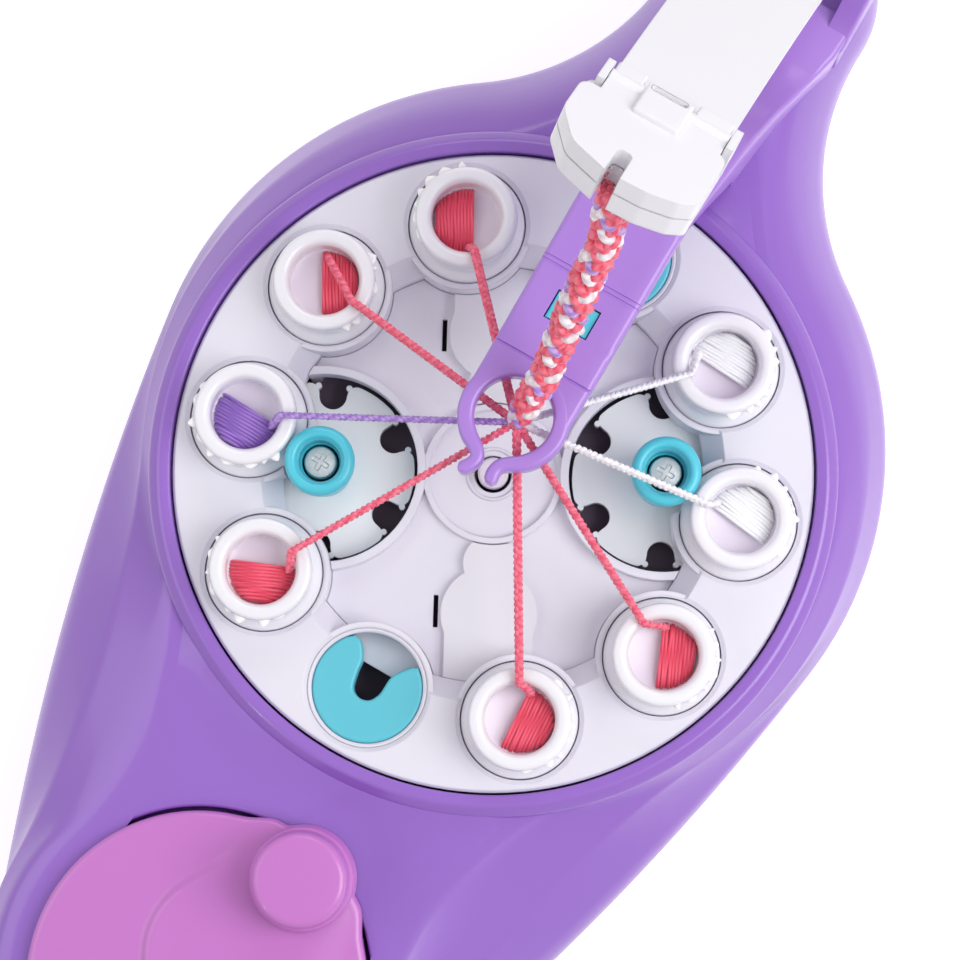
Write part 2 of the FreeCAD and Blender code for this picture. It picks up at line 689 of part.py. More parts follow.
def deck_screws():
    face = float(s.deck_top + s.screw_head_height)
    return group([screw(polar(62.0, angle, face), 8.0, -1) for angle in range(0, 360, 60)])


def pocket_ring():
    """White ring with ten pockets, a bevelled inner edge and an outer wall down to the deck."""
    outer, inner = float(table_radius), float(s.annulus_bore) / 2
    top, floor = float(s.table_top), float(s.floor_top)
    wall = float(s.pocket_wall)
    deck = float(s.deck_top)
    ring = turned_shape([(inner, floor - 1.2), (inner + 2.0, floor - 1.2), (inner + 2.0, 46.0), (55.0, top - 2.5),
                         (72.8, top - 2.5), (72.8, deck), (outer, deck), (outer, top - 0.6),
                         (outer - 0.6, top), (54.2, top), (inner, 46.4)])
    centres = [polar(s.pocket_circle / 2, angle) for angle in pocket_angles]
    pocket = float(s.pocket_diameter) / 2
    cups = [Part.makeCylinder(pocket + wall, top - 0.6 - (floor - 1.0), c + UP * (floor - 1.0)) for c in centres]
    ring = ring.fuse(cups)
    rims = [Part.makeCone(pocket, pocket + 1.0, 1.0, c + UP * (top - 1.0)) for c in centres]
    hubs = [Part.makeCylinder(9.0, 40, place + UP * 30) for place in rotor_places.values()]
    ring = ring.cut([Part.makeCylinder(pocket, 20, c + UP * floor) for c in centres])
    ring = ring.cut(rims)
    ring = ring.cut(hubs)
    for angle, centre in zip(pocket_angles, centres):
        well = Part.makeBox(10, 10, 6, Vector(-5, -5, floor - 4))
        well.Placement = Placement(centre, Rotation(UP, angle))
        ring = ring.cut(well)
    return solid(ring)


def table_floor():
    """Sunken white floor with the raised rings round the two star wheels."""
    edge = float(s.annulus_bore) / 2 - 0.1
    top, bottom = float(s.floor_top), float(s.floor_top) - 2.0
    frame_top, deck = float(s.frame_top), float(s.deck_top)
    disc = Part.makeCylinder(edge, top - bottom, UP * bottom)
    skirt = turned_shape([(edge - 2.0, deck), (edge, deck), (edge, bottom), (edge - 2.0, bottom)])
    hub = turned_shape([(10.3, deck), (14.0, deck), (14.0, bottom), (10.3, bottom)])
    eye = turned_shape([(15.0, top), (16.8, top), (16.6, top + 1.6), (15.2, top + 1.6)])
    bead = turned_shape([(5.6, top), (6.4, top), (6.3, top + 0.5), (5.7, top + 0.5)])
    frames = [Part.makeCylinder(float(s.frame_outside) / 2, frame_top - bottom, p + UP * bottom)
              for p in rotor_places.values()]
    frames = Part.makeCompound(frames).common(Part.makeCylinder(edge, 40, UP * 20))
    body = disc.fuse([skirt, hub, frames, eye, bead])
    openings = [Part.makeCylinder(float(s.frame_bore) / 2, 40, p + UP * 30) for p in rotor_places.values()]
    pockets = [Part.makeCylinder(float(s.pocket_diameter) / 2 + float(s.pocket_wall) + 0.1, 20,
                                 polar(s.pocket_circle / 2, a) + UP * (top - 1.2)) for a in pocket_angles]
    body = body.cut(openings + pockets + [Part.makeCylinder(4.4, 20, UP * 35)])
    # Slot for each cover plate's snap, on the same side of both plates
    slots = []
    for where, side in (("rear", 12.0), ("front", -13.1)):
        slot = Part.makeBox(7.6, 1.1, 6, Vector(29.0, side, top - 3))
        slot.Placement = Placement(Vector(), Rotation(UP, seat_angles[where] + float(s.rotor_angle)))
        slots.append(slot)
    return solid(body.cut(slots).removeSplitter())


def cover_plate(angle):
    """Flat cover shaped like a pawn, from near the centre out to the pocket ring."""
    top = float(s.floor_top)
    thickness = 1.8
    head = Part.makeCylinder(6.5, thickness, Vector(21.2, 0, 0))
    belly = Part.makeCylinder(11.4, thickness, Vector(33.3, 0, 0))
    skirt = Part.makeBox(17.0, 20.8, thickness, Vector(32.2, -10.4, 0))
    plate = head.fuse([belly, skirt])
    plate.Placement = Placement(UP * top, Rotation(UP, angle))
    round_ring = Part.makeCylinder(float(s.annulus_bore) / 2 - 0.1, 20, UP * 40)
    pockets = [Part.makeCylinder(float(s.pocket_diameter) / 2 + float(s.pocket_wall) + 0.1, 20,
                                 polar(s.pocket_circle / 2, a) + UP * 38) for a in pocket_angles]
    eye = Part.makeCylinder(16.9, 20, UP * 40)
    plate = plate.common(round_ring).cut(pockets + [eye]).removeSplitter()
    return solid(try_round(plate, 0.5, lambda edge: edge.BoundBox.ZMin > top + thickness - 0.01))


def pocket_seat(angle):
    """Teal C-shaped dish in an empty pocket; its notch opens towards the table's centre."""
    outer = float(s.seat_diameter) / 2
    base = float(s.floor_top)
    dish = turned_shape([(0.0, base + 1.4), (7.0, base + 1.4), (outer - 2.4, base + 6.0), (outer - 1.0, base + 6.6),
                         (outer, base + 6.0), (outer, base), (0.0, base)])
    apex, spread = 2.6, 9.0
    notch = slab([Vector(-apex - 0.4, -apex, 30), Vector(-apex - 0.4, apex, 30), Vector(20, spread + 3, 30),
                  Vector(20, -spread - 3, 30)], [2.2, 2.2, 0, 0], UP * 40)
    notch.Placement = Placement(Vector(), Rotation(UP, 180))
    dish = dish.cut(notch)
    dish = try_round(dish, 2.0, lambda edge: is_upright(edge) and edge.CenterOfMass.Length > outer * 0.7)
    dish.Placement = Placement(polar(s.pocket_circle / 2, angle), Rotation(UP, angle))
    return solid(dish)


def is_upright(edge):
    """True for a straight edge along Z."""
    if len(edge.Vertexes) != 2:
        return False
    start, end = edge.Vertexes[0].Point, edge.Vertexes[1].Point
    return abs(start.x - end.x) < 1e-4 and abs(start.y - end.y) < 1e-4


def spool(angle):
    """Spool: a flange in the pocket, a barrel and a rounded rim, open at the top."""
    foot = s.floor_top + 0.05
    top, bore = s.spool_top, s.spool_bore / 2
    flange, rim = s.spool_flange / 2, s.spool_rim / 2
    body = turned([(0.0, foot), (flange, foot), (flange, foot + 5.6), (flange - 0.6, foot + 6.4),
                   (rim - 0.8, foot + 7.4), (rim - 0.8, top - 5.0), (rim, top - 4.0), (rim, top - 1.4),
                   (rim - 0.5, top - 0.4), (rim - 1.5, top), (bore + 1.0, top), (bore + 0.2, top - 0.6),
                   (bore, top - 1.6), (bore, foot + 1.6), (0.0, foot + 1.6)],
                  Placement(polar(s.pocket_circle / 2, angle), Rotation(UP, angle)))
    return body


# Direction of each spool's winding from its centre, and how far its flat side passes the centre
WINDINGS = {
    "a": (210.0, 1.6), "b": (30.0, 0.6), "c": (268.0, 1.8), "d": (293.0, 1.5),
    "e": (3.0, 1.0), "f": (22.0, 0.8), "g": (81.0, 1.4), "h": (87.0, 1.4),
}
WINDING_COLOURS = {"pink": "abdef", "purple": "c", "white": "gh"}


def windings(letters):
    """The thread wound inside the bores of some spools, each with one flat side."""
    radius = float(s.spool_bore) / 2 - 0.1
    low, high = float(s.floor_top) + 1.75, float(s.spool_top) - 5.0
    lumps = []
    for letter in letters:
        direction, beyond = WINDINGS[letter]
        lump = Part.makeCylinder(radius, high - low, UP * low)
        waste = Part.makeBox(30, 30, 40, Vector(-30 - beyond, -15, 30))
        waste.Placement = Placement(Vector(), Rotation(UP, direction))
        lump = lump.cut(waste)
        lump.translate(polar(s.pocket_circle / 2, spool_angles[letter]))
        lumps.append(lump)
    return solid(Part.makeCompound(lumps))


# Star wheels


def star_wheel(centre, first_notch):
    """Plate with six mouths that take hold of the spools; small ears stand at each mouth."""
    radius, thickness = float(s.star_diameter) / 2, float(s.star_thickness)
    plate = Part.makeCylinder(radius, thickness)
    mouths, ears = [], []
    for i in range(6):
        turn = Rotation(UP, first_notch + 60 * i)
        mouth = Part.makeCylinder(3.3, thickness, Vector(17.9, 0, 0))
        mouth = mouth.fuse(slab([Vector(17.9, -3.3, 0), Vector(17.9, 3.3, 0), Vector(24, 4.4, 0), Vector(24, -4.4, 0)],
                                [0, 0, 0, 0], UP * thickness))
        mouth.Placement = Placement(Vector(), turn)
        mouths.append(mouth)
        for side in (-1, 1):
            ear = Part.makeCylinder(0.75, thickness, turn.multVec(Vector(20.0, side * 3.7, 0)))
            ears.append(ear)
    plate = plate.cut(mouths)
    plate = try_round(plate, 2.2, lambda edge: is_upright(edge) and edge.CenterOfMass.Length > radius - 0.6)
    plate = plate.fuse(ears).removeSplitter()
    plate = plate.cut(Part.makeCylinder(float(s.rotor_shaft) / 2, thickness))
    plate.translate(centre + UP * (float(s.star_top) - thickness))
    return solid(plate)


def rotor_pinion(centre, phase):
    """Shaft of a star wheel with its gear moulded on."""
    shaft = float(s.rotor_shaft) / 2
    stem = turned_shape([(0.0, 19.0), (shaft, 19.0), (shaft, 44.0), (1.5, 44.0), (1.5, 36.0), (0.0, 36.0)])
    stem.translate(centre)
    teeth = gear(s.planet_teeth, s.sun_module, phase, shaft - 0.5, centre)
    return solid(stem.fuse(teeth).removeSplitter())


def rotor_cup(centre):
    """Teal cup that hides the shaft's end and holds its screw."""
    radius, top = s.cup_diameter / 2, s.cup_top
    shaft = s.rotor_shaft / 2
    return turned([(shaft, s.star_top), (6.4, s.star_top), (6.4, 52.6), (radius - 0.4, 54.4), (radius, 56.0),
                   (radius, top - 1.2), (radius - 0.4, top - 0.4), (radius - 1.2, top), (5.6, top),
                   (4.9, top - 0.5), (4.6, top - 1.6), (4.4, 54.0), (1.5, 54.0), (1.5, 44.0), (shaft, 44.0)],
                  Placement(centre, Rotation()))


def cup_screw(centre):
    """Crosshead screw in the bottom of the cup."""
    body = turned_shape([(0.0, 36.0), (1.5, 36.0), (1.5, 54.0), (3.6, 54.0), (3.6, 55.6), (2.6, 56.6), (0.0, 56.9)])
    for angle in (25.0, 115.0):
        bar = Part.makeBox(3.6, 0.8, 3.0, Vector(-1.8, -0.4, 55.6))
        bar.Placement = Placement(Vector(), Rotation(UP, angle))
        body = body.cut(bar)
    body.translate(centre)
    return solid(body)


# Guide arm and ring


def arm_plan(extra=0.0):
    """The arm's plan as a tall block, wider by extra on each side."""
    half, foot_half = float(s.arm_width) / 2 + extra, float(s.arm_foot_width) / 2 + extra
    # Distance back, half width and corner radius
    plan = [(14, half, 0), (72, half + 0.6, 60), (92, half + 3.0, 40), (110, half + 6.0, 40),
            (128, foot_half, 10), (148, foot_half, 8), (156, foot_half - 6, 3)]
    corners = [Vector(x, back, 0) for back, x, _ in plan] + [Vector(-x, back, 0) for back, x, _ in reversed(plan)]
    radii = [corner for _, _, corner in plan]
    return slab(corners, radii + radii[::-1], UP * 120)


def arm_body():
    """The arm's S-shaped side view, trimmed to its plan."""
    low, high = float(s.arm_bottom), float(s.arm_bottom + s.arm_thickness)
    shelf = float(s.shelf_height)
    # Distance back, height and corner radius, all round the side view
    side = [(14, low, 0), (69, low, 16), (87, 56, 3), (87, shelf, 0), (152, shelf, 2), (154, 66, 8),
            (150, 75, 4), (140, 75, 6), (131, 60, 10), (112, 58, 14), (80, high, 22), (14, high, 0)]
    body = slab([Vector(-40, back, height) for back, height, _ in side], [corner for _, _, corner in side],
                SIDEWAYS * 80)
    return body.common(arm_plan())


def guide_arm():
    """Arm from the tail over the turntable, ending in an open ring that the braid passes through."""
    low, high = float(s.arm_bottom), float(s.arm_bottom + s.arm_thickness)
    body = arm_body()
    # Ring, open at the front, with two lips that turn outwards
    inner = float(s.ring_bore) / 2
    outer = inner + float(s.ring_width)
    middle = (inner + outer) / 2
    ring = Part.makeCylinder(outer, high - low, ring_centre + UP * low)
    body = body.fuse(ring).cut(Part.makeCylinder(inner, 40, ring_centre + UP * 70))
    gate = math.degrees(math.asin(2.5 / middle))
    wedge = slab([ring_centre, ring_centre + polar(30, -90 - gate), ring_centre + polar(30, -90 + gate)],
                 [0, 0, 0], UP * 120)
    body = body.cut(wedge)
    for side_sign in (-1, 1):
        start = ring_centre + polar(middle, -90 + side_sign * gate) + UP * low
        tip = Vector(side_sign * 4.4, -6.2, low)
        bar = float(s.ring_width) / 2
        body = body.fuse(drop(start, bar, tip, bar, high - low))
    # Slot between the ears for the lever, bore for its pin, window for the latch, grooves
    slot = Part.makeBox(32.4, 60, 60, Vector(-16.2, 133.5, 55.5))
    bore = Part.makeCylinder(float(s.lever_pin) / 2, 60, pivot - SIDEWAYS * 30, SIDEWAYS)
    width, length = float(s.window_width), float(s.window_length)
    window = Part.makeBox(width, length, 40, Vector(-width / 2, float(s.window_back) - length / 2, 70))
    grooves = [Part.makeBox(60, 1.0, 2, Vector(-30, back, high - 0.5)) for back in (22.2, 44.0, 45.8)]
    screw_holes = [Part.makeCylinder(float(s.screw_thread) / 2, 9.0, Vector(x, y, float(s.shelf_height)))
                   for x, y in ARM_SCREWS]
    body = body.cut([slot, bore, window] + grooves + screw_holes).removeSplitter()
    return solid(try_round(body, 0.8, is_ring_rim))


def is_ring_rim(edge):
    """The upper edges round the ring's bore and lips."""
    span = edge.BoundBox
    high = float(s.arm_bottom + s.arm_thickness)
    return span.ZMin > high - 0.01 and span.YMax < 19.0


def arm_screws():
    """Screws from inside the housing up into the arm's foot."""
    head_face = float(s.shelf_height - s.shell_thickness - s.screw_head_height)
    length = 9.0 + float(s.shell_thickness)
    return group([screw(Vector(x, y, head_face), length, 1) for x, y in ARM_SCREWS])


def latch_button():
    """Teal catch in the arm's window; a foot under the arm stops it from coming out."""
    back, low = float(s.window_back), float(s.arm_bottom)
    play = 0.6
    button = box(s.window_width - play, s.window_length - play, s.arm_thickness + 0.8, Vector(0, back, low - 1.6))
    foot = box(s.window_width + 2.6, s.window_length + 2.5, 1.4, Vector(0, back, low - 2.2))
    dip_radius, dip_depth = 14.0, 0.6
    dip_centre = Vector(-10, back, low + float(s.arm_thickness) - 0.8 + dip_radius - dip_depth)
    dip = cylinder(dip_radius, 20.0, Placement(dip_centre, UP_TO_SIDEWAYS))
    return cut(fuse(button, foot), dip)


# Take-up lever and clip


def strap_circle():
    """Centre and radius of the strap's bow, and the direction at its far end."""
    start = Vector(0, pivot.y, pivot.z)
    end = Vector(0, float(s.strap_end_back), float(s.strap_end_height))
    chord = end - start
    rise = float(s.strap_rise)
    radius = (chord.Length ** 2 / 4 + rise ** 2) / (2 * rise)
    outward = Vector(0, chord.z, -chord.y).normalize()
    centre = (start + end) * 0.5 - outward * (radius - rise)
    ray = (end - centre).normalize()
    return start, end, centre, radius, Vector(0, -ray.z, ray.y)


def lever():
    """Bowed strap that rises from its pivot in the tail to the clip."""
    start, end, centre, radius, _ = strap_circle()
    half, width = float(s.strap_thickness) / 2, float(s.strap_width)
    middle = (start + end) * 0.5 - centre

    def on_bow(direction, reach):
        return centre + Vector(direction).normalize() * reach - SIDEWAYS * (width / 2)

    first, last = start - centre, end - centre
    edges = [Part.Arc(on_bow(first, radius + half), on_bow(middle, radius + half), on_bow(last, radius + half)),
             Part.LineSegment(on_bow(last, radius + half), on_bow(last, radius - half)),
             Part.Arc(on_bow(last, radius - half), on_bow(middle, radius - half), on_bow(first, radius - half)),
             Part.LineSegment(on_bow(first, radius - half), on_bow(first, radius + half))]
    strap = Part.Face(Part.Wire([edge.toShape() for edge in edges])).extrude(SIDEWAYS * width)
    knuckle = Part.makeCylinder(6.0, 31.6, pivot - SIDEWAYS * 15.8, SIDEWAYS)
    bore = Part.makeCylinder(float(s.lever_pin / 2 + s.running_gap), 60, pivot - SIDEWAYS * 30, SIDEWAYS)
    return solid(strap.fuse(knuckle).cut(bore).removeSplitter())


def lever_pin():
    start = pivot - SIDEWAYS * float(s.pin_length / 2)
    return cylinder(s.lever_pin / 2, s.pin_length, Placement(start, UP_TO_SIDEWAYS))


def clip_frame():
    """The clip's own frame: X across, Y back along the strap, Z outwards."""
    _, end, _, _, onward = strap_circle()
    tilt = math.degrees(math.atan2(onward.z, -onward.y))
    return Placement(end, Rotation(SIDEWAYS, -tilt))


def on_clip(shape):
    """Carry a shape from the clip's own frame to its place."""
    shape.Placement = clip_frame()
    return shape


# In the clip's frame: its rounded front from right to left (across, back, corner radius), its back
# edge, its hinge axis (back and outwards) and its knuckle
CLIP_FRONT = [(15.6, -18.2, 2.0), (12.0, -20.6, 3.0), (5.5, -22.3, 4.0), (-3.0, -22.6, 2.0), (-12.6, -19.4, 5.0),
              (-17.8, -12.4, 5.0)]
CLIP_BACK = 6.0
CLIP_HINGE = (3.0, 3.6)
KNUCKLE_RADIUS = 1.8
LUG = 1.7


def clip_outline(low, height, back):
    """The clip's plan, with a slit for the braid's end."""
    left, right = CLIP_FRONT[-1][0], CLIP_FRONT[0][0]
    points = [(left, back, 2.5), (right, back, 2.5)] + CLIP_FRONT
    plate = slab([Vector(x, y, low) for x, y, _ in points], [corner for _, _, corner in points], UP * height)
    slit = slab([Vector(-4.2, -30, low), Vector(-0.3, -30, low), Vector(-0.6, -15, low), Vector(-3.9, -15, low)],
                [0, 0, 1.2, 1.2], UP * height)
    return plate.cut(slit)


def clip_base():
    half = float(s.clip_width) / 2
    gap = float(s.strap_thickness) / 2 + 0.2
    under = clip_outline(-4.6, 4.6 - gap, CLIP_BACK)
    front = clip_outline(-gap, gap, -2.0)
    lug_height = gap + CLIP_HINGE[1] + KNUCKLE_RADIUS
    lugs = [Part.makeBox(LUG, 6.5, lug_height, Vector(x, -0.6, -gap)) for x in (-half, half - LUG)]
    bore = Part.makeCylinder(float(s.clip_pin) / 2, 60, Vector(-30, *CLIP_HINGE), SIDEWAYS)
    return solid(on_clip(under.fuse([front] + lugs).cut(bore).removeSplitter()))


def clip_lid():
    half = float(s.clip_width) / 2
    narrow = half - LUG - 0.2
    front = clip_outline(0.3, 4.3, -2.2).cut(Part.makeBox(60, 14, 1.8, Vector(-30, -4.4, 0.2)))
    back = Part.makeBox(2 * narrow, CLIP_HINGE[0] + 3.4, 2.6, Vector(-narrow, -3.4, 2.0))
    knuckle = Part.makeCylinder(KNUCKLE_RADIUS, 2 * narrow, Vector(-narrow, *CLIP_HINGE), SIDEWAYS)
    bore = Part.makeCylinder(float(s.clip_pin / 2 + s.running_gap), 60, Vector(-30, *CLIP_HINGE), SIDEWAYS)
    return solid(on_clip(front.fuse([back, knuckle]).cut(bore).removeSplitter()))


def clip_pin():
    start = Vector(float(s.clip_width) / -2, *CLIP_HINGE)
    place = clip_frame().multiply(Placement(start, UP_TO_SIDEWAYS))
    return cylinder(s.clip_pin / 2, s.clip_width, place)


# Threads and braid

FELL = Vector(1.0, 9.0, 84.5)


def braid_end():
    """Where the braid reaches the clip's slit."""
    _, end, _, _, onward = strap_circle()
    inward = Vector(0, onward.z, -onward.y) * -1
    return end + onward * 16.0 + inward * 6.5 - SIDEWAYS * 2.2


def thread(letter):
    """One thread from its winding over the spool's rim to the fell."""
    centre = polar(s.pocket_circle / 2, spool_angles[letter])
    towards = Vector(FELL.x - centre.x, FELL.y - centre.y, 0).normalize()
    half = float(s.thread_diameter) / 2
    crown = centre + towards * 9.4 + UP * (float(s.spool_top) + half + 0.9)
    start = centre + towards * 1.5 + UP * (float(s.spool_top) - 3.6)
    end = FELL - towards * 3.0 - UP * 0.6
    print(f"thread_{letter}")
    return solid(tube([start, crown, end], half))


def fell_knot():
    """The point where the threads cross and the braid begins."""
    knot = doc.addObject("Part::Sphere", "Knot")
    knot.Radius = float(s.knot_diameter) / 2
    knot.Placement.Base = FELL
    bind(knot, "Radius", s.knot_diameter / 2)
    return knot


def braid():
    """Finished braid, pulled up from the fell to the clip."""
    along = braid_end() - FELL
    from_knot, from_clip = 3.5, 4.5
    start = FELL + Vector(along).normalize() * from_knot
    return cylinder(s.braid_diameter / 2, along.Length - from_knot - from_clip, Placement(start, Rotation(UP, along)))


# The parts, each under the name of its file

keep(upper_shell(), "upper_shell")
keep(base_tray(), "base_tray")
keep(housing_screws(), "housing_screws")
keep(rubber_feet(), "rubber_feet")
keep(sun_post(), "sun_post")
keep(idler_axle(), "idler_axle")
keep(idler_gear(), "idler_gear")
keep(crank_gear(), "crank_gear")
keep(crank_shaft(), "crank_shaft")
keep(crank_bush(), "crank_bush")
keep(crank_disc(), "crank_disc")
keep(knob_pin(), "knob_pin")
keep(knob(), "knob")
keep(knob_cap(), "knob_cap")
keep(carrier_deck(), "carrier_deck")
keep(table_gear(), "table_gear")
keep(deck_screws(), "deck_screws")
keep(pocket_ring(), "pocket_ring")
keep(table_floor(), "table_floor")
for where, angle in seat_angles.items():
    keep(cover_plate(angle + float(s.rotor_angle)), f"cover_plate_{where}")
    keep(pocket_seat(angle), f"pocket_seat_{where}")
for letter, angle in spool_angles.items():
    keep(spool(angle), f"spool_{letter}")
    keep(thread(letter), f"thread_{letter}")
for colour, letters in WINDING_COLOURS.items():
    keep(windings(letters), f"{colour}_windings")
rotor_turns = {"right": (float(s.rotor_angle) + 180, 58.8), "left": (float(s.rotor_angle), 54.0)}
for where, centre in rotor_places.items():
    towards_post, first_notch = rotor_turns[where]
    phase = towards_post + 180.0 / float(s.planet_teeth)
    keep(star_wheel(centre, first_notch), f"star_wheel_{where}")
    keep(rotor_pinion(centre, phase), f"rotor_pinion_{where}")
    keep(rotor_cup(centre), f"rotor_cup_{where}")
    keep(cup_screw(centre), f"cup_screw_{where}")
keep(guide_arm(), "guide_arm")
keep(arm_screws(), "arm_screws")
keep(latch_button(), "latch_button")
keep(lever(), "lever")
keep(lever_pin(), "lever_pin")
keep(clip_base(), "clip_base")
keep(clip_lid(), "clip_lid")
keep(clip_pin(), "clip_pin")
keep(fell_knot(), "fell_knot")
keep(braid(), "braid")

# Check everything, then write one file per sub-part

doc.recompute()
troubles = []
for obj in doc.Objects:
    if "Invalid" in obj.State or "Error" in obj.State:
        troubles.append(f"{obj.Label}: {obj.State}")
for label, obj in pieces.items():
    shape = obj.Shape
    if shape.isNull() or not shape.isValid() or not shape.Solids:
        troubles.append(f"{label}: no valid solid")
if troubles:
    raise SystemExit("\n".join(troubles))
os.makedirs("parts", exist_ok=True)
for label, obj in sorted(pieces.items()):
    obj.Shape.exportStep(f"parts/{label}.step")
print(len(pieces), "sub-parts written")
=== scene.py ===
import math
import random

import bpy
from mathutils import Matrix, Vector
from mathutils.geometry import delaunay_2d_cdt


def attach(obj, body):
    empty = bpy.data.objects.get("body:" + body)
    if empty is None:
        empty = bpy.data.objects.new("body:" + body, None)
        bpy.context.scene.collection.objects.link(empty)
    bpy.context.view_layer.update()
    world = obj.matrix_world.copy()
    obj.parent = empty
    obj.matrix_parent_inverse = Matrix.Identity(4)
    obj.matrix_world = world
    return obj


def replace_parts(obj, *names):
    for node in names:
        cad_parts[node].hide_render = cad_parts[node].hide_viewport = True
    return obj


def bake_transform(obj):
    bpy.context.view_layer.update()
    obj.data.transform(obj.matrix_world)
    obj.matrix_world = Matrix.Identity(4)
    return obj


# Sizes below are in millimetres, in the part's own frame: the turntable's axis is X = Y = 0 and the
# feet stand on Z = 0.
MM = 0.001
TAU = 2 * math.pi

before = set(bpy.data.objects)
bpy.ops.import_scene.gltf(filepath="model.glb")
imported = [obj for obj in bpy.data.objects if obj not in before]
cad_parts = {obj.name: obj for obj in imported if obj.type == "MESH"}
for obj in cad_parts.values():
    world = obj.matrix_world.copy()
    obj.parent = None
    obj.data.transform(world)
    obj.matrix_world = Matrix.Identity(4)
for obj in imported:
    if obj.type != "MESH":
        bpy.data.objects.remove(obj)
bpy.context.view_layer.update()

# Places of the sub-parts; the spools stand on the pocket circle, at these degrees
POCKET_CIRCLE = 58.5
SPOOLS = {"g": 18, "h": 54, "a": 126, "b": 162, "c": 198, "d": 234, "e": 306, "f": 342}
FELL = Vector((1.0, 9.0, 84.5))
CRANK = Vector((0.0, -136.5, 0.0))
KNOB = Vector((9.372, -103.817, 0.0))
RING = Vector((0.0, 9.5, 0.0))
STRAP_END = Vector((0.0, 67.0, 155.0))
CLIP_TILT = math.radians(35.27)


# Small helpers


def srgb(red, green, blue):
    """A display colour from 0 to 255 as a linear one."""
    def linear(value):
        value = value / 255
        return value / 12.92 if value <= 0.04045 else ((value + 0.055) / 1.055) ** 2.4
    return linear(red), linear(green), linear(blue)


def polar(radius, degrees, height=0.0):
    angle = math.radians(degrees)
    return Vector((radius * math.cos(angle), radius * math.sin(angle), height))


def smoothstep(low, high, value):
    t = min(1.0, max(0.0, (value - low) / (high - low)))
    return t * t * (3 - 2 * t)


def lerp(a, b, t):
    return a + (b - a) * t


def soften(points, cut, steps=5):
    """A polyline with each inner corner replaced by a curve that starts cut before it."""
    most_of_edge = 0.48
    points = [Vector(p) for p in points]
    cuts = cut if isinstance(cut, (list, tuple)) else [cut] * (len(points) - 2)
    result = [points[0]]
    for corner, reach, before, after in zip(points[1:-1], cuts, points, points[2:]):
        back, ahead = before - corner, after - corner
        start = corner + back.normalized() * min(reach, back.length * most_of_edge)
        end = corner + ahead.normalized() * min(reach, ahead.length * most_of_edge)
        for i in range(steps + 1):
            t = i / steps
            result.append(start * (1 - t) ** 2 + corner * (2 * t * (1 - t)) + end * t ** 2)
    return result + [points[-1]]


def rounded(pairs, cut, steps=5):
    """Pairs such as (radius, height) with each inner corner softened."""
    return [(p.x, p.y) for p in soften([(first, second, 0) for first, second in pairs], cut, steps)]


def resample(points, spacing):
    """Points at equal steps along a polyline."""
    lengths = [0.0]
    for a, b in zip(points, points[1:]):
        lengths.append(lengths[-1] + (b - a).length)
    count = max(2, round(lengths[-1] / spacing))
    result, segment = [], 0
    for i in range(count + 1):
        target = lengths[-1] * i / count
        while segment < len(points) - 2 and lengths[segment + 1] < target:
            segment += 1
        span = lengths[segment + 1] - lengths[segment]
        share = (target - lengths[segment]) / span if span else 0
        result.append(points[segment].lerp(points[segment + 1], share))
    return result


def curve_through(points, spacing):
    """A smooth line through points (Catmull-Rom), sampled evenly."""
    steps = 12
    points = [Vector(p) for p in points]
    padded = [points[0] * 2 - points[1]] + points + [points[-1] * 2 - points[-2]]
    fine = []
    for p0, p1, p2, p3 in zip(padded, padded[1:], padded[2:], padded[3:]):
        for i in range(steps):
            t = i / steps
            fine.append(0.5 * (p1 * 2 + (p2 - p0) * t + (p0 * 2 - p1 * 5 + p2 * 4 - p3) * t * t
                               + (p1 * 3 - p0 - p2 * 3 + p3) * t ** 3))
    fine.append(points[-1])
    return resample(fine, spacing)


def frames(path):
    """Tangent, normal and binormal along a path, without twist."""
    result = []
    normal = None
    for i in range(len(path)):
        ahead = path[min(i + 1, len(path) - 1)] - path[max(i - 1, 0)]
        tangent = ahead.normalized()
        if normal is None:
            normal = tangent.orthogonal().normalized()
        normal = (normal - tangent * normal.dot(tangent)).normalized()
        result.append((tangent, normal, tangent.cross(normal)))
    return result


def around(point, normal, binormal, radius, angle):
    """The point at a radius and an angle round a path's point."""
    return point + normal * (radius * math.cos(angle)) + binormal * (radius * math.sin(angle))


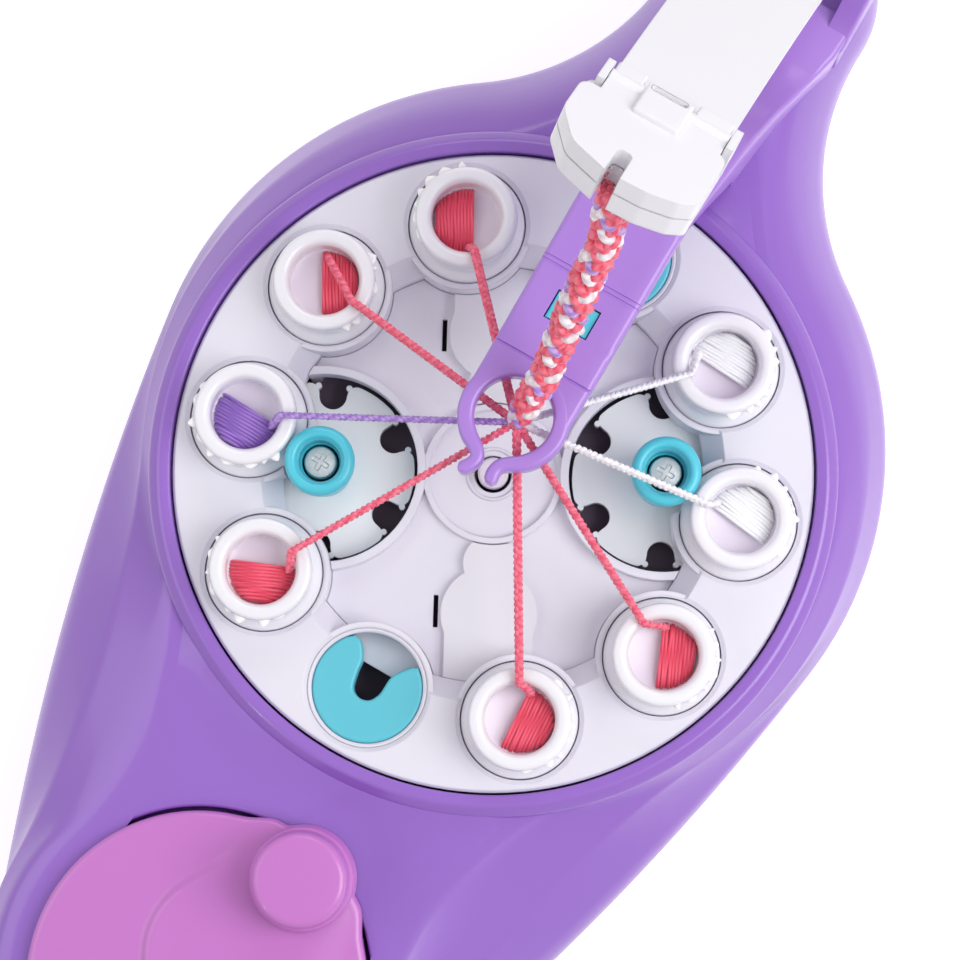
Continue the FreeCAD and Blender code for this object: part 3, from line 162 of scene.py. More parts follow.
class Soup:
    """Collects faces, then makes one object from them."""

    END_TAPER = 0.35

    def __init__(self):
        self.verts, self.faces, self.slots, self.uvs = [], [], [], []

    def add(self, verts, faces, slot=0, uvs=None):
        base = len(self.verts)
        self.verts += [Vector(v) for v in verts]
        self.faces += [[base + i for i in face] for face in faces]
        self.slots += [slot] * len(faces)
        self.uvs += uvs or [(0.0, 0.0)] * len(verts)

    def grid(self, rows, slot=0, wrap=False, cap_end=False, uvs=None, skip=None):
        """Faces between equal rows of points; wrap closes each row, cap_end fills the last one."""
        width = len(rows[0])
        faces = []
        for i in range(len(rows) - 1):
            for j in range(width if wrap else width - 1):
                if skip and skip(i, j):
                    continue
                k = (j + 1) % width
                faces.append([i * width + j, i * width + k, (i + 1) * width + k, (i + 1) * width + j])
        if cap_end:
            faces.append([(len(rows) - 1) * width + j for j in range(width)])
        self.add([p for row in rows for p in row], faces, slot, uvs)

    def lathe(self, profile, centre=Vector(), segments=96, slot=0):
        """Sweep (radius, height) points round the vertical axis through centre."""
        rows = []
        for i in range(segments):
            angle = TAU * i / segments
            cos, sin = math.cos(angle), math.sin(angle)
            rows.append([Vector((centre.x + r * cos, centre.y + r * sin, centre.z + z)) for r, z in profile])
        self.grid([list(row) for row in zip(*rows)], slot, wrap=True)

    def tube(self, path, radius, sides=8, slot=0):
        """A round strand along a path; its ends taper, and radius may be a function of the share."""
        rows, uvs = [], []
        travelled = 0.0
        last = len(path) - 1
        for i, (point, (_, normal, binormal)) in enumerate(zip(path, frames(path))):
            if i:
                travelled += (path[i] - path[i - 1]).length
            width = radius(i / last) if callable(radius) else radius
            if i in (0, last):
                width *= self.END_TAPER
            row = []
            for j in range(sides + 1):
                row.append(around(point, normal, binormal, width, TAU * j / sides))
                uvs.append((travelled, j / sides))
            rows.append(row)
        self.grid(rows, slot, uvs=uvs)

    def build(self, name, materials, sharp):
        """One smooth object whose edges are sharp from an angle in degrees."""
        data = bpy.data.meshes.new(name)
        data.from_pydata([v * MM for v in self.verts], [], self.faces)
        data.polygons.foreach_set("material_index", self.slots)
        data.polygons.foreach_set("use_smooth", [True] * len(self.faces))
        layer = data.uv_layers.new(name="along")
        for loop in data.loops:
            layer.data[loop.index].uv = self.uvs[loop.vertex_index]
        for material in materials:
            data.materials.append(material)
        data.update()
        data.set_sharp_from_angle(angle=math.radians(sharp))
        obj = bpy.data.objects.new(name, data)
        bpy.context.scene.collection.objects.link(obj)
        return obj


def inward(points, distance):
    """A closed plan outline moved inwards (it runs anticlockwise)."""
    result = []
    count = len(points)
    for i, point in enumerate(points):
        edge = points[(i + 1) % count] - points[i - 1]
        normal = Vector((-edge.y, edge.x, 0)).normalized()
        result.append(point + normal * distance)
    return result


def inside(point, outline):
    """True where a plan point lies inside a closed outline."""
    hit = False
    x, y = point
    for a, b in zip(outline, outline[-1:] + outline[:-1]):
        if (a[1] > y) != (b[1] > y) and x < (b[0] - a[0]) * (y - a[1]) / (b[1] - a[1]) + a[0]:
            hit = not hit
    return hit


def sheet_faces(outer, holes, spacing=None):
    """Triangles that fill a plan outline round its holes; returns 2-D points and faces."""
    points, edges = [], []
    for outline in [outer] + holes:
        base, count = len(points), len(outline)
        points += [Vector((p[0], p[1])) for p in outline]
        edges += [(base + i, base + (i + 1) % count) for i in range(count)]
    if spacing:
        xs, ys = [p[0] for p in outer], [p[1] for p in outer]
        border = list(points)
        y = min(ys) + spacing / 2
        while y < max(ys):
            x = min(xs) + spacing / 2
            while x < max(xs):
                near = any(abs(p.x - x) < spacing * 0.5 and abs(p.y - y) < spacing * 0.5 for p in border)
                if not near and inside((x, y), outer) and not any(inside((x, y), hole) for hole in holes):
                    points.append(Vector((x, y)))
                x += spacing
            y += spacing
    made, _, faces = delaunay_2d_cdt(points, edges, [], 0, 1e-5)[:3]
    kept = []
    for face in faces:
        middle = sum((made[i] for i in face), Vector((0, 0))) / len(face)
        if inside(middle, outer) and not any(inside(middle, hole) for hole in holes):
            kept.append(list(face))
    return made, kept


def ring_points(centre, radius, count):
    return [centre + polar(radius, 360 * i / count) for i in range(count)]


def at_height(outline, height):
    return [Vector((p.x, p.y, height)) for p in outline]


def pad(soup, outline, low, high, rounding, holes=()):
    """A plate from a closed anticlockwise outline, with rounded upper edges and softer holes."""
    steps, hole_rounding = 3, rounding * 0.6
    turns = [math.pi / 2 * i / steps for i in range(steps + 1)]
    rows = [at_height(outline, low)]
    for turn in turns:
        moved = inward(outline, rounding * (1 - math.cos(turn)))
        rows.append(at_height(moved, high - rounding * (1 - math.sin(turn))))
    soup.grid(rows, wrap=True)
    openings = []
    for hole in holes:
        bore = []
        for turn in turns:
            moved = inward(hole, -hole_rounding * (1 - math.sin(turn)))
            bore.append(at_height(moved, high - hole_rounding * (1 - math.cos(turn))))
        bore.append(at_height(hole, low))
        openings.append(bore[0])
        soup.grid([row[::-1] for row in bore], wrap=True)
    points, faces = sheet_faces(rows[-1], openings)
    soup.add(at_height(points, high), faces)


# Materials

COAT_ROUGHNESS = 0.1
# Sockets of a Mix node that mixes colours
MIX_FACTOR, MIX_FIRST, MIX_SECOND, MIX_RESULT = 0, 6, 7, 2


def new_material(name, colour, roughness, coat=0.0):
    material = bpy.data.materials.new(name)
    material.use_nodes = True
    shader = material.node_tree.nodes["Principled BSDF"]
    shader.inputs["Base Color"].default_value = (*srgb(*colour), 1)
    shader.inputs["Roughness"].default_value = roughness
    shader.inputs["Coat Weight"].default_value = coat
    shader.inputs["Coat Roughness"].default_value = COAT_ROUGHNESS
    return material, material.node_tree.nodes, material.node_tree.links, shader


def noise_bump(nodes, links, scale, detail, strength, distance):
    """Fine relief from noise in the object's own space."""
    place = nodes.new("ShaderNodeTexCoord")
    noise = nodes.new("ShaderNodeTexNoise")
    noise.inputs["Scale"].default_value = scale
    noise.inputs["Detail"].default_value = detail
    links.new(place.outputs["Object"], noise.inputs["Vector"])
    bump = nodes.new("ShaderNodeBump")
    bump.inputs["Strength"].default_value = strength
    bump.inputs["Distance"].default_value = distance
    links.new(noise.outputs["Fac"], bump.inputs["Height"])
    return bump


def plastic(name, colour, roughness=0.32, coat=0.25, grain=0.03, edge=0.4, glow=0.0):
    """Moulded plastic: faint grain, softened edges, some light let through where glow is set."""
    material, nodes, links, shader = new_material(name, colour, roughness, coat)
    shader.inputs["Subsurface Weight"].default_value = glow
    shader.inputs["Subsurface Radius"].default_value = (0.004, 0.003, 0.004)
    bump = noise_bump(nodes, links, scale=420.0, detail=3.0, strength=grain, distance=0.0004)
    if edge:
        bevel = nodes.new("ShaderNodeBevel")
        bevel.samples = 4
        bevel.inputs["Radius"].default_value = edge * MM
        links.new(bevel.outputs["Normal"], bump.inputs["Normal"])
    links.new(bump.outputs["Normal"], shader.inputs["Normal"])
    return material


def yarn(name, colour, painted_trough_shade, pitch, plies=1.0, depth=0.6):
    """Satin yarn: twisted fibres follow the strand's own length (u, mm) and turn (v); the colour falls to a
    painted shade in the twist's troughs.
    """
    material, nodes, links, shader = new_material(name, colour, 0.5)
    shader.inputs["Sheen Weight"].default_value = 0.35
    shader.inputs["Sheen Roughness"].default_value = 0.4
    place = nodes.new("ShaderNodeUVMap")
    place.uv_map = "along"
    split = nodes.new("ShaderNodeSeparateXYZ")
    links.new(place.outputs["UV"], split.inputs["Vector"])

    def maths(kind, first, second=None):
        node = nodes.new("ShaderNodeMath")
        node.operation = kind
        for socket, value in zip(node.inputs, (first, second)):
            if isinstance(value, float):
                socket.default_value = value
            elif value is not None:
                links.new(value, socket)
        return node.outputs[0]

    along = maths("MULTIPLY", split.outputs["X"], TAU / pitch)
    round_it = maths("MULTIPLY", split.outputs["Y"], TAU * plies)
    wave = maths("SINE", maths("ADD", along, round_it))
    fine_along = maths("MULTIPLY", split.outputs["X"], TAU / (pitch * 0.9))
    fine_round = maths("MULTIPLY", split.outputs["Y"], TAU * plies * 6)
    fine = maths("MULTIPLY", maths("SINE", maths("ADD", fine_along, fine_round)), 0.35)
    height = maths("ADD", wave, fine)
    span = nodes.new("ShaderNodeMapRange")
    span.inputs["From Min"].default_value = -1.3
    span.inputs["From Max"].default_value = 1.0
    links.new(height, span.inputs["Value"])
    # Painted shade: the crests of the twist keep the yarn's colour, the troughs take the painted shade colour
    mix = nodes.new("ShaderNodeMix")
    mix.data_type = "RGBA"
    mix.inputs[MIX_FIRST].default_value = (*srgb(*painted_trough_shade), 1)
    mix.inputs[MIX_SECOND].default_value = (*srgb(*colour), 1)
    links.new(span.outputs["Result"], mix.inputs[MIX_FACTOR])
    links.new(mix.outputs[MIX_RESULT], shader.inputs["Base Color"])
    bump = nodes.new("ShaderNodeBump")
    bump.inputs["Strength"].default_value = depth
    bump.inputs["Distance"].default_value = 0.00025
    links.new(span.outputs["Result"], bump.inputs["Height"])
    links.new(bump.outputs["Normal"], shader.inputs["Normal"])
    return material


def brushed(name, colour):
    """Steel with a fine uneven surface."""
    material, nodes, links, shader = new_material(name, colour, 0.45)
    shader.inputs["Metallic"].default_value = 0.6
    bump = noise_bump(nodes, links, scale=900.0, detail=4.0, strength=0.5, distance=0.0003)
    links.new(bump.outputs["Normal"], shader.inputs["Normal"])
    return material


PURPLE = plastic("body_purple", (145, 98, 195), roughness=0.3, coat=0.35, edge=0)
ARM = plastic("arm_purple", (168, 124, 212), roughness=0.34, coat=0.3, edge=0)
PINK = plastic("crank_pink", (196, 116, 198), roughness=0.32, coat=0.25, edge=0)
TEAL = plastic("teal", (78, 200, 220), roughness=0.35, coat=0.2)
TEAL_SEAT = plastic("teal_seat", (92, 192, 210), roughness=0.45, coat=0.1, edge=0)
TABLE = plastic("table_white", (228, 225, 236), roughness=0.34, coat=0.2, edge=0.5)
SPOOL = plastic("spool_white", (238, 236, 243), roughness=0.26, coat=0.35, edge=0, glow=0.2)
# Painted shade: the white of the spools and the core, darkened to lavender grey for faces deep in bores
WHITE_IN_PAINTED_SHADE = plastic("white_painted_shade", (226, 216, 232), roughness=0.35, coat=0.2, edge=0)
WHEEL = plastic("wheel_grey", (240, 241, 243), roughness=0.38, coat=0.1, edge=0.35)
PLATE = plastic("cover_white", (228, 226, 234), roughness=0.38, coat=0.15)
STRAP = plastic("strap_white", (232, 230, 236), roughness=0.4, coat=0.1, edge=0.5)
# Painted shade: the deck under the cover plates is coloured dark for the shade deep in their slots
DECK_PAINTED_SHADE = plastic("dark_plastic", (104, 86, 108), roughness=0.6, coat=0.0)
GEAR = plastic("gear_white", (205, 205, 210), roughness=0.5, coat=0.0)
RUBBER = plastic("foot_rubber", (40, 40, 44), roughness=0.8, coat=0.0, grain=0.2)
STEEL = brushed("steel", (196, 198, 200))
FROSTED = plastic("burr_white", (250, 246, 252), roughness=0.3, coat=0.2, edge=0, glow=0.5)
# Each yarn's second colour is the painted shade in the troughs of its twist
YARN_PINK = yarn("yarn_pink", (252, 128, 152), (232, 78, 110), pitch=1.8, depth=0.35)
YARN_WHITE = yarn("yarn_white", (253, 252, 254), (236, 232, 240), pitch=1.8, depth=0.35)
YARN_PURPLE = yarn("yarn_purple", (192, 158, 228), (150, 110, 198), pitch=1.8, depth=0.35)
BRAID_PINK = yarn("braid_pink", (252, 122, 142), (224, 66, 96), pitch=1.6)
BRAID_WHITE = yarn("braid_white", (252, 246, 249), (226, 206, 218), pitch=1.6)
BRAID_PURPLE = yarn("braid_purple", (204, 170, 232), (158, 114, 202), pitch=1.6)
WOUND_PINK = yarn("wound_pink", (242, 92, 118), (212, 48, 80), pitch=9.0, plies=2.0, depth=0.15)
WOUND_WHITE = yarn("wound_white", (252, 252, 254), (236, 236, 240), pitch=9.0, plies=2.0, depth=0.15)
WOUND_PURPLE = yarn("wound_purple", (160, 118, 206), (120, 80, 170), pitch=9.0, plies=2.0, depth=0.15)

DRESS = {
    PURPLE: ["upper_shell", "base_tray", "crank_bush"],
    ARM: ["guide_arm"],
    PINK: ["crank_disc", "knob", "knob_cap"],
    TEAL: ["latch_button", "rotor_cup_left", "rotor_cup_right", "pocket_seat_front", "pocket_seat_rear"],
    TABLE: ["pocket_ring", "table_floor"],
    PLATE: ["cover_plate_front", "cover_plate_rear"],
    WHEEL: ["star_wheel_left", "star_wheel_right"],
    # Deck darkened as painted shade
    DECK_PAINTED_SHADE: ["carrier_deck"],
    GEAR: ["table_gear", "crank_gear", "idler_gear", "sun_post", "idler_axle", "rotor_pinion_left",
           "rotor_pinion_right"],
    STEEL: ["housing_screws", "deck_screws", "arm_screws", "cup_screw_left", "cup_screw_right", "lever_pin",
            "clip_pin", "crank_shaft", "knob_pin"],
    STRAP: ["lever", "clip_base", "clip_lid"],
    RUBBER: ["rubber_feet"],
}
for material, nodes in DRESS.items():
    for node in nodes:
        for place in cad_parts[node].material_slots:
            place.material = material


# Housing

# The plan's rounds: body radius and centre, flank radius (negative where hollow), front radius and
# centre, neck radius, tail radius
TAIL_BACK = 138.0
WIDEST = (90.3, 10.0, 600.0, 54.0, -130.0, 60.0, 26.0)
CREASE = (86.0, 5.0, -230.0, 52.5, -133.0, 66.0, 21.0)
PLATEAU = (80.0, 0.0, -70.0, 47.5, -136.5, 74.0, 15.0)
# Height, inset and rounds from the lower edge to the top
LEVELS = [(3.0, 5.0, WIDEST), (16.0, 1.5, WIDEST), (30.0, 0.0, WIDEST), (42.0, 0.0, CREASE),
          (50.0, 0.0, PLATEAU), (50.0, 4.6, PLATEAU)]
# Radii of the two openings in the top face
COLLAR = 80.2
RECESS = 41.6


def meeting(first, first_reach, second, second_reach):
    """The point with x above 0 at these distances from two points of the Y axis."""
    gap = second - first
    along = (gap ** 2 + first_reach ** 2 - second_reach ** 2) / (2 * gap)
    return Vector((math.sqrt(first_reach ** 2 - along ** 2), first + along, 0))


def arc(centre, start, end, count):
    """Points of the short arc from start to end, without the last one."""
    a, b = start - centre, end - centre
    first = math.atan2(a.y, a.x)
    sweep = (math.atan2(b.y, b.x) - first + math.pi) % TAU - math.pi
    return [centre + polar(a.length, math.degrees(first + sweep * i / count)) for i in range(count)]


def plan_outline(rounds, inset):
    """The housing's outline, anticlockwise from the middle of its nose."""
    big, big_y, flank, front, front_y, neck, tail = rounds
    big, flank, front, neck, tail = big - inset, flank - inset, front - inset, neck + inset, tail - inset
    body, nose, end = Vector((0, big_y, 0)), Vector((0, front_y, 0)), Vector((0, TAIL_BACK, 0))
    side = meeting(big_y, abs(flank - big), front_y, abs(flank - front))
    if flank > 0:
        side.x = -side.x
    sense = math.copysign(1.0, flank)
    top = body + (body - side).normalized() * (big * sense)
    foot = nose + (nose - side).normalized() * (front * sense)
    hollow = meeting(big_y, big + neck, TAIL_BACK, tail + neck)
    shoulder = body + (hollow - body).normalized() * big
    waist = end + (hollow - end).normalized() * tail
    right = arc(nose, nose - Vector((0, front, 0)), foot, 24) + arc(side, foot, top, 36)
    right += arc(body, top, shoulder, 44) + arc(hollow, shoulder, waist, 30)
    right += arc(end, waist, end + Vector((0, tail, 0)), 16)
    left = [Vector((-p.x, p.y, 0)) for p in right[1:]]
    return right + [end + Vector((0, tail, 0))] + left[::-1]


def top_height(p, rim):
    """Height of the top face at a plan point: soft feet along the collar, the recess and the rim."""
    from_table = math.hypot(p.x, p.y) - COLLAR
    from_crank = math.hypot(p.x - CRANK.x, p.y - CRANK.y) - RECESS
    from_rim = min(math.hypot(p.x - q.x, p.y - q.y) for q in rim)
    rise = 1.4 * math.exp(-max(0.0, from_table) / 3.0) * smoothstep(0.0, 3.0, from_rim)
    inner = smoothstep(2.0, 14.0, from_table) * smoothstep(1.0, 12.0, from_crank)
    return 50.0 + rise - 1.3 * inner * smoothstep(0, 16, from_rim)


def housing():
    soup = Soup()
    outlines = [plan_outline(rounds, inset) for _, inset, rounds in LEVELS]
    columns = []
    for j in range(len(outlines[0])):
        corners = []
        for outline, (height, _, _) in zip(outlines, LEVELS):
            corners.append(Vector((outline[j].x, outline[j].y, height)))
        # Away from the turntable the top's round may reach further in
        room = 6.0 * smoothstep(88, 104, math.hypot(corners[-1].x, corners[-1].y))
        corners[-1] += (corners[-1] - corners[-2]).normalized() * room
        # The crease below it is sharp in front and soft behind
        rear = smoothstep(35, 85, outlines[0][j].y)
        columns.append(soften(corners, [6.0, 6.0, lerp(2.0, 6.0, rear), 7.0], 8))
    rows = [list(row) for row in zip(*columns)]
    soup.grid(rows, wrap=True)
    # Top face between the turntable and the crank
    rim = at_height(rows[-1], 0)
    openings = [ring_points(Vector(), COLLAR, 160), ring_points(CRANK, RECESS, 96)]
    points, faces = sheet_faces(rim, openings, spacing=4.0)
    soup.add([Vector((p.x, p.y, top_height(p, rim))) for p in points], faces)
    # Collar round the turntable
    lip = rounded([(75.5, 40), (75.5, 53.0), (78.2, 53.4), (79.5, 52.3), (80.8, 51.1), (80.9, 46)],
                  [0.5, 0.8, 0.7, 0.8])
    soup.lathe(lip[::-1], segments=200)
    # Recess for the crank
    dish = rounded([(42.2, 49.9), (40.2, 50.0), (39.8, 41), (6.5, 41)], [0.9, 0.6], 4)
    soup.lathe(dish, CRANK, segments=140)
    return soup.build("housing_skin", [PURPLE], 50)


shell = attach(housing(), "base")
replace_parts(shell, "upper_shell")


# Guide arm

# Half width along the arm, and the heights of its upper and lower faces
ARM_PLAN = [(14, 12.2), (66, 12.6), (80, 14.2), (92, 15.4), (104, 16.9), (114, 18.8), (124, 21.2),
            (130, 21.5), (148, 21.5), (154.5, 17.6)]
ARM_TOP = rounded([(0, 90), (80, 90), (112, 58), (131, 58), (156, 58)], [20, 14, 4], 10)
ARM_UNDER = rounded([(0, 84), (69, 84), (86.6, 56), (87, 38), (156, 38)], [14, 0.1, 0.1], 8)
# Half width, front and back of the catch's window, and front and back of the band let in round it
WINDOW = (5.45, 32.0, 39.1)
BAND = (22.4, 44.9)
BAND_DEPTH, BAND_EDGE = 0.45, 1.4
GROOVE_HALF, GROOVE_DEPTH = 0.35, 0.35
# Where the arm passes between the lever's cheeks, and its height there
SADDLE, SADDLE_HEIGHT = 133.5, 55.5
ARM_START, ARM_END = 22.0, 154.0


def look_up(table, y):
    """Linear look-up in a list of (distance, value) pairs."""
    for first, second in zip(table, table[1:]):
        if y <= second[0]:
            t = (y - first[0]) / (second[0] - first[0])
            return lerp(first[1], second[1], max(0.0, t))
    return table[-1][1]


def arm_height(y):
    """Height of the arm's upper face, with the band, its two grooves and the saddle."""
    high = look_up(ARM_TOP, y)
    if BAND[0] < y < BAND[1]:
        high -= BAND_DEPTH
    for groove in (BAND[0], BAND[1] - BAND_EDGE):
        if groove - GROOVE_HALF < y < groove + GROOVE_HALF:
            high -= GROOVE_DEPTH
    return SADDLE_HEIGHT if y > SADDLE else high


def guide_arm():
    soup = Soup()
    half_window, window_front, window_back = WINDOW
    # Close pairs where the height steps, and one every 2 mm between
    steps = [22.1, 22.7, 22.8, 43.1, 43.2, 43.8, 43.9, 44.85, 44.95, 86.5, 86.9, 87.1, 133.4, 133.6]
    stops = sorted([ARM_START, window_front, window_back, ARM_END] + steps + list(range(24, 154, 2)))
    rounding, chamfer, ring_middle = 1.3, 0.5, 10.6
    # The rows at the ring lie just inside the arm's faces
    root_width, root_high, root_low = 12.2, 89.95, 84.05
    rows = []

    def section(place, width, high, low):
        """One closed row round the arm, with rounded upper edges and bevelled lower ones."""
        flat = width - rounding
        across = []
        for i in range(5):
            turn = math.pi / 2 * i / 4
            across.append((-width + rounding * (1 - math.cos(turn)), high - rounding * (1 - math.sin(turn))))
        inner = (half_window + flat) / 2
        across += [(x, high) for x in (-inner, -half_window, 0.0, half_window, inner)]
        across += [(-x, z) for x, z in across[:5][::-1]]
        across += [(width, low + chamfer), (width - chamfer, low), (half_window, low), (-half_window, low),
                   (-width + chamfer, low), (-width, low + chamfer)]
        return [Vector((x, place(x), z)) for x, z in across]

    def front_edge(t):
        """Rows that turn from the ring's round into straight ones."""
        def place(x):
            start = RING.y + math.sqrt(max(0.0, ring_middle ** 2 - x ** 2))
            return lerp(start, ARM_START, t)
        return place

    shares = (0.0, 0.3, 0.6, 0.85)
    for t in shares:
        rows.append(section(front_edge(t), root_width, root_high, root_low))
    for y in stops:
        rows.append(section(lambda x, y=y: y, look_up(ARM_PLAN, y), arm_height(y), look_up(ARM_UNDER, y)))
    first = len(shares) + stops.index(window_front)
    last = len(shares) + stops.index(window_back)
    # Columns over and under the window
    open_columns = (6, 7, 17)

    def skip(i, j):
        return first <= i < last and j in open_columns

    soup.grid(rows, wrap=True, cap_end=True, skip=skip)
    corners = [(-half_window, window_front), (half_window, window_front), (half_window, window_back),
               (-half_window, window_back)]
    walls = [[Vector((x, y, z)) for x, y in corners] for z in (84.0, 89.55)]
    soup.grid(walls, wrap=True)
    return soup.build("arm_skin", [ARM], 35)


def hook():
    """The open ring and its two lips."""
    soup = Soup()
    left_lip = [(-3.0, -1.5, 0), (-2.5, -3.1, 0), (-3.3, -5.1, 0), (-4.9, -6.9, 0)]
    right_lip = [(3.0, -1.5, 0), (2.4, -3.1, 0), (2.5, -4.7, 0), (3.3, -6.3, 0)]
    spacing, drop = 0.5, 1.1
    radius, half_width, high, low = 10.7, 1.9, 90.0, 84.0
    for lip, sign in ((left_lip, -1), (right_lip, 1)):
        bow = [RING + polar(radius, 90 - sign * angle) for angle in range(0, 156, 8)]
        path = curve_through(bow + lip, spacing)
        count = len(path)
        rows = []
        for i, point in enumerate(path):
            ahead = path[min(i + 1, count - 1)] - path[max(i - 1, 0)]
            side = Vector((-ahead.y, ahead.x, 0)).normalized()
            left = (count - 1 - i) * spacing
            width = half_width - 0.35 * smoothstep(12, 5, left)
            close = math.sqrt(max(0.02, 1 - max(0.0, 1 - left / width) ** 2))
            width *= close
            profile = []
            for side_sign, base_angle in ((1, 0), (-1, 90)):
                for k in range(5):
                    angle = math.radians(base_angle + 22.5 * k)
                    x = math.cos(angle) * drop * close
                    z = math.sin(angle) * drop
                    profile.append((side_sign * (width - drop * close) + x, high - drop + z))
            foot = width - 0.4 * close
            profile += [(-width, low + 0.4), (-foot, low), (foot, low), (width, low + 0.4)]
            rows.append([point + side * x + Vector((0, 0, z)) for x, z in profile])
        soup.grid(rows, wrap=True, cap_end=True)
    return soup.build("hook_skin", [ARM], 50)


def ears():
    """The two cheeks that carry the lever's pin."""
    soup = Soup()
    inner_face = 16.2
    side_view = soften([(126, 40, 0), (153.5, 40, 0), (154, 66, 0), (149, 75.5, 0), (140.5, 75.5, 0),
                        (131, 59, 0), (126, 55, 0), (126, 48, 0)], [0.5, 6, 4, 5, 6, 1])
    for sign in (-1, 1):
        part = Soup()
        pad(part, side_view, low=0.0, high=5.8, rounding=1.2)
        turned = [Vector((sign * (inner_face + v.z), v.x, v.y)) for v in part.verts]
        faces = part.faces if sign > 0 else [face[::-1] for face in part.faces]
        soup.add(turned, faces)
    return soup.build("hinge_cheeks", [ARM], 35)


for piece in (guide_arm(), hook(), ears()):
    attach(piece, "base")
    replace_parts(piece, "guide_arm")


# Crank


def drop_distance(p, first, first_radius, second, second_radius):
    """Distance from a plan point to a drop shape round two circles, negative inside."""
    span = second - first
    length = math.hypot(span.x, span.y)
    up = Vector((span.x / length, span.y / length))
    rel = Vector((p.x - first.x, p.y - first.y))
    x, y = abs(rel.x * up.y - rel.y * up.x), rel.x * up.x + rel.y * up.y
    lean = (first_radius - second_radius) / length
    slope = math.sqrt(1 - lean * lean)
    k = -lean * x + slope * y
    if k < 0:
        return math.hypot(x, y) - first_radius
    if k > slope * length:
        return math.hypot(x, y - length) - second_radius
    return x * slope + y * lean - first_radius


# The disc, the lobe under the knob and the swelling at the disc's middle that the raised arm joins
DISC, DISC_TOP, DISC_ROUND = 39.2, 54.0, 1.6
LOBE = 12.4
SWELL, SWELL_RADIUS = Vector((3.6, -127.4, 0)), 20.0
KNOB_HEADING = math.atan2(KNOB.y - CRANK.y, KNOB.x - CRANK.x)
KNOB_REACH = math.hypot(KNOB.y - CRANK.y, KNOB.x - CRANK.x)


def disc_edge(angle):
    """Radius of the outline in a direction: the disc, the lobe and the soft corners beside it."""
    off = (angle - KNOB_HEADING + math.pi) % TAU - math.pi
    edge = DISC
    across = KNOB_REACH * math.sin(off)
    if abs(off) < 0.7 and abs(across) < LOBE:
        edge = max(DISC, KNOB_REACH * math.cos(off) + math.sqrt(LOBE ** 2 - across ** 2))
    if abs(off) < 0.62:
        edge = max(edge, DISC + 2.2 * smoothstep(0.62, 0.33, abs(off)) ** 2)
    return edge


def disc_height(p, distance):
    """Height of the upper face: a low dome and a raised arm, sharp on its left and soft on its right."""
    gap = drop_distance(p, SWELL, SWELL_RADIUS, KNOB, LOBE + 0.4)
    side = smoothstep(-6.0, 6.0, (p - SWELL).dot(Vector((0.866, 0.5, 0))))
    lift = 1.5 * smoothstep(lerp(1.0, 5.0, side), lerp(-1.8, -7.0, side), gap)
    dome = 0.8 * (1 - (min(distance, DISC) / DISC) ** 2)
    return DISC_TOP - 0.5 + lift + dome * smoothstep(-8, 4, gap)


def crank_disc():
    soup = Soup()
    columns_round, rings, round_steps = 240, 60, 5
    lobe_underside, disc_underside = 50.9, 43.6
    columns = []
    for j in range(columns_round):
        angle = TAU * j / columns_round
        direction = Vector((math.cos(angle), math.sin(angle), 0))
        edge = disc_edge(angle)
        flat = edge - DISC_ROUND
        column = []
        for i in range(rings + 1):
            distance = flat * i / rings
            p = CRANK + direction * distance
            column.append(Vector((p.x, p.y, disc_height(p, distance))))
        rim = disc_height(CRANK + direction * flat, flat)
        for i in range(1, round_steps + 1):
            turn = math.pi / 2 * i / round_steps
            p = CRANK + direction * (flat + DISC_ROUND * math.sin(turn))
            column.append(Vector((p.x, p.y, rim - DISC_ROUND * (1 - math.cos(turn)))))
        low = lobe_underside if edge > DISC + 0.15 else disc_underside
        for distance in (edge, DISC - 3):
            p = CRANK + direction * distance
            column.append(Vector((p.x, p.y, low)))
        columns.append(column)
    rows = [list(row) for row in zip(*columns)]
    soup.grid(rows[::-1], wrap=True)
    return soup.build("crank_cover", [PINK], 50)


def knob():
    soup = Soup()
    profile = [(3, 55.7), (11.4, 55.7), (12.1, 56.4), (12.1, 58.2), (11.7, 59.0), (11.1, 59.4), (10.9, 66.6),
               (9.9, 67.9), (6.0, 68.0), (0.01, 68.0)]
    soup.lathe(rounded(profile, [0.3, 0.6, 0.5, 0.5, 0.5, 1.0, 0.9, 1.0], 4), KNOB)
    return soup.build("knob_skin", [PINK], 50)


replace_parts(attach(crank_disc(), "crank"), "crank_disc")
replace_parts(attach(knob(), "grip"), "knob", "knob_cap")


# Screws in the rotor cups, and the seats in the two empty pockets

# Centres, and for each seat the direction of its notch in degrees
ROTORS = {"right": Vector((35.253, 18.902, 0)), "left": Vector((-35.253, -18.902, 0))}
SEATS = {"front": (Vector((0, -POCKET_CIRCLE, 0)), 90.0), "rear": (Vector((0, POCKET_CIRCLE, 0)), 270.0)}


def rotor_cup(side):
    """Round cup with a stepped bore."""
    soup = Soup()
    profile = [(4.3, 41.0), (6.4, 41.0), (6.4, 57.6), (8.1, 58.6), (8.1, 62.0), (7.2, 63.0), (5.8, 63.0),
               (4.9, 61.4), (4.7, 57.0), (4.3, 56.8), (4.3, 41.0)]
    soup.lathe(rounded(profile, [0.3, 0.4, 0.4, 0.8, 0.8, 0.7, 0.8, 0.2, 0.2]), ROTORS[side])
    obj = soup.build(f"cup_{side}", [TEAL], 50)
    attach(obj, f"{side}_star")
    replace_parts(obj, f"rotor_cup_{side}")


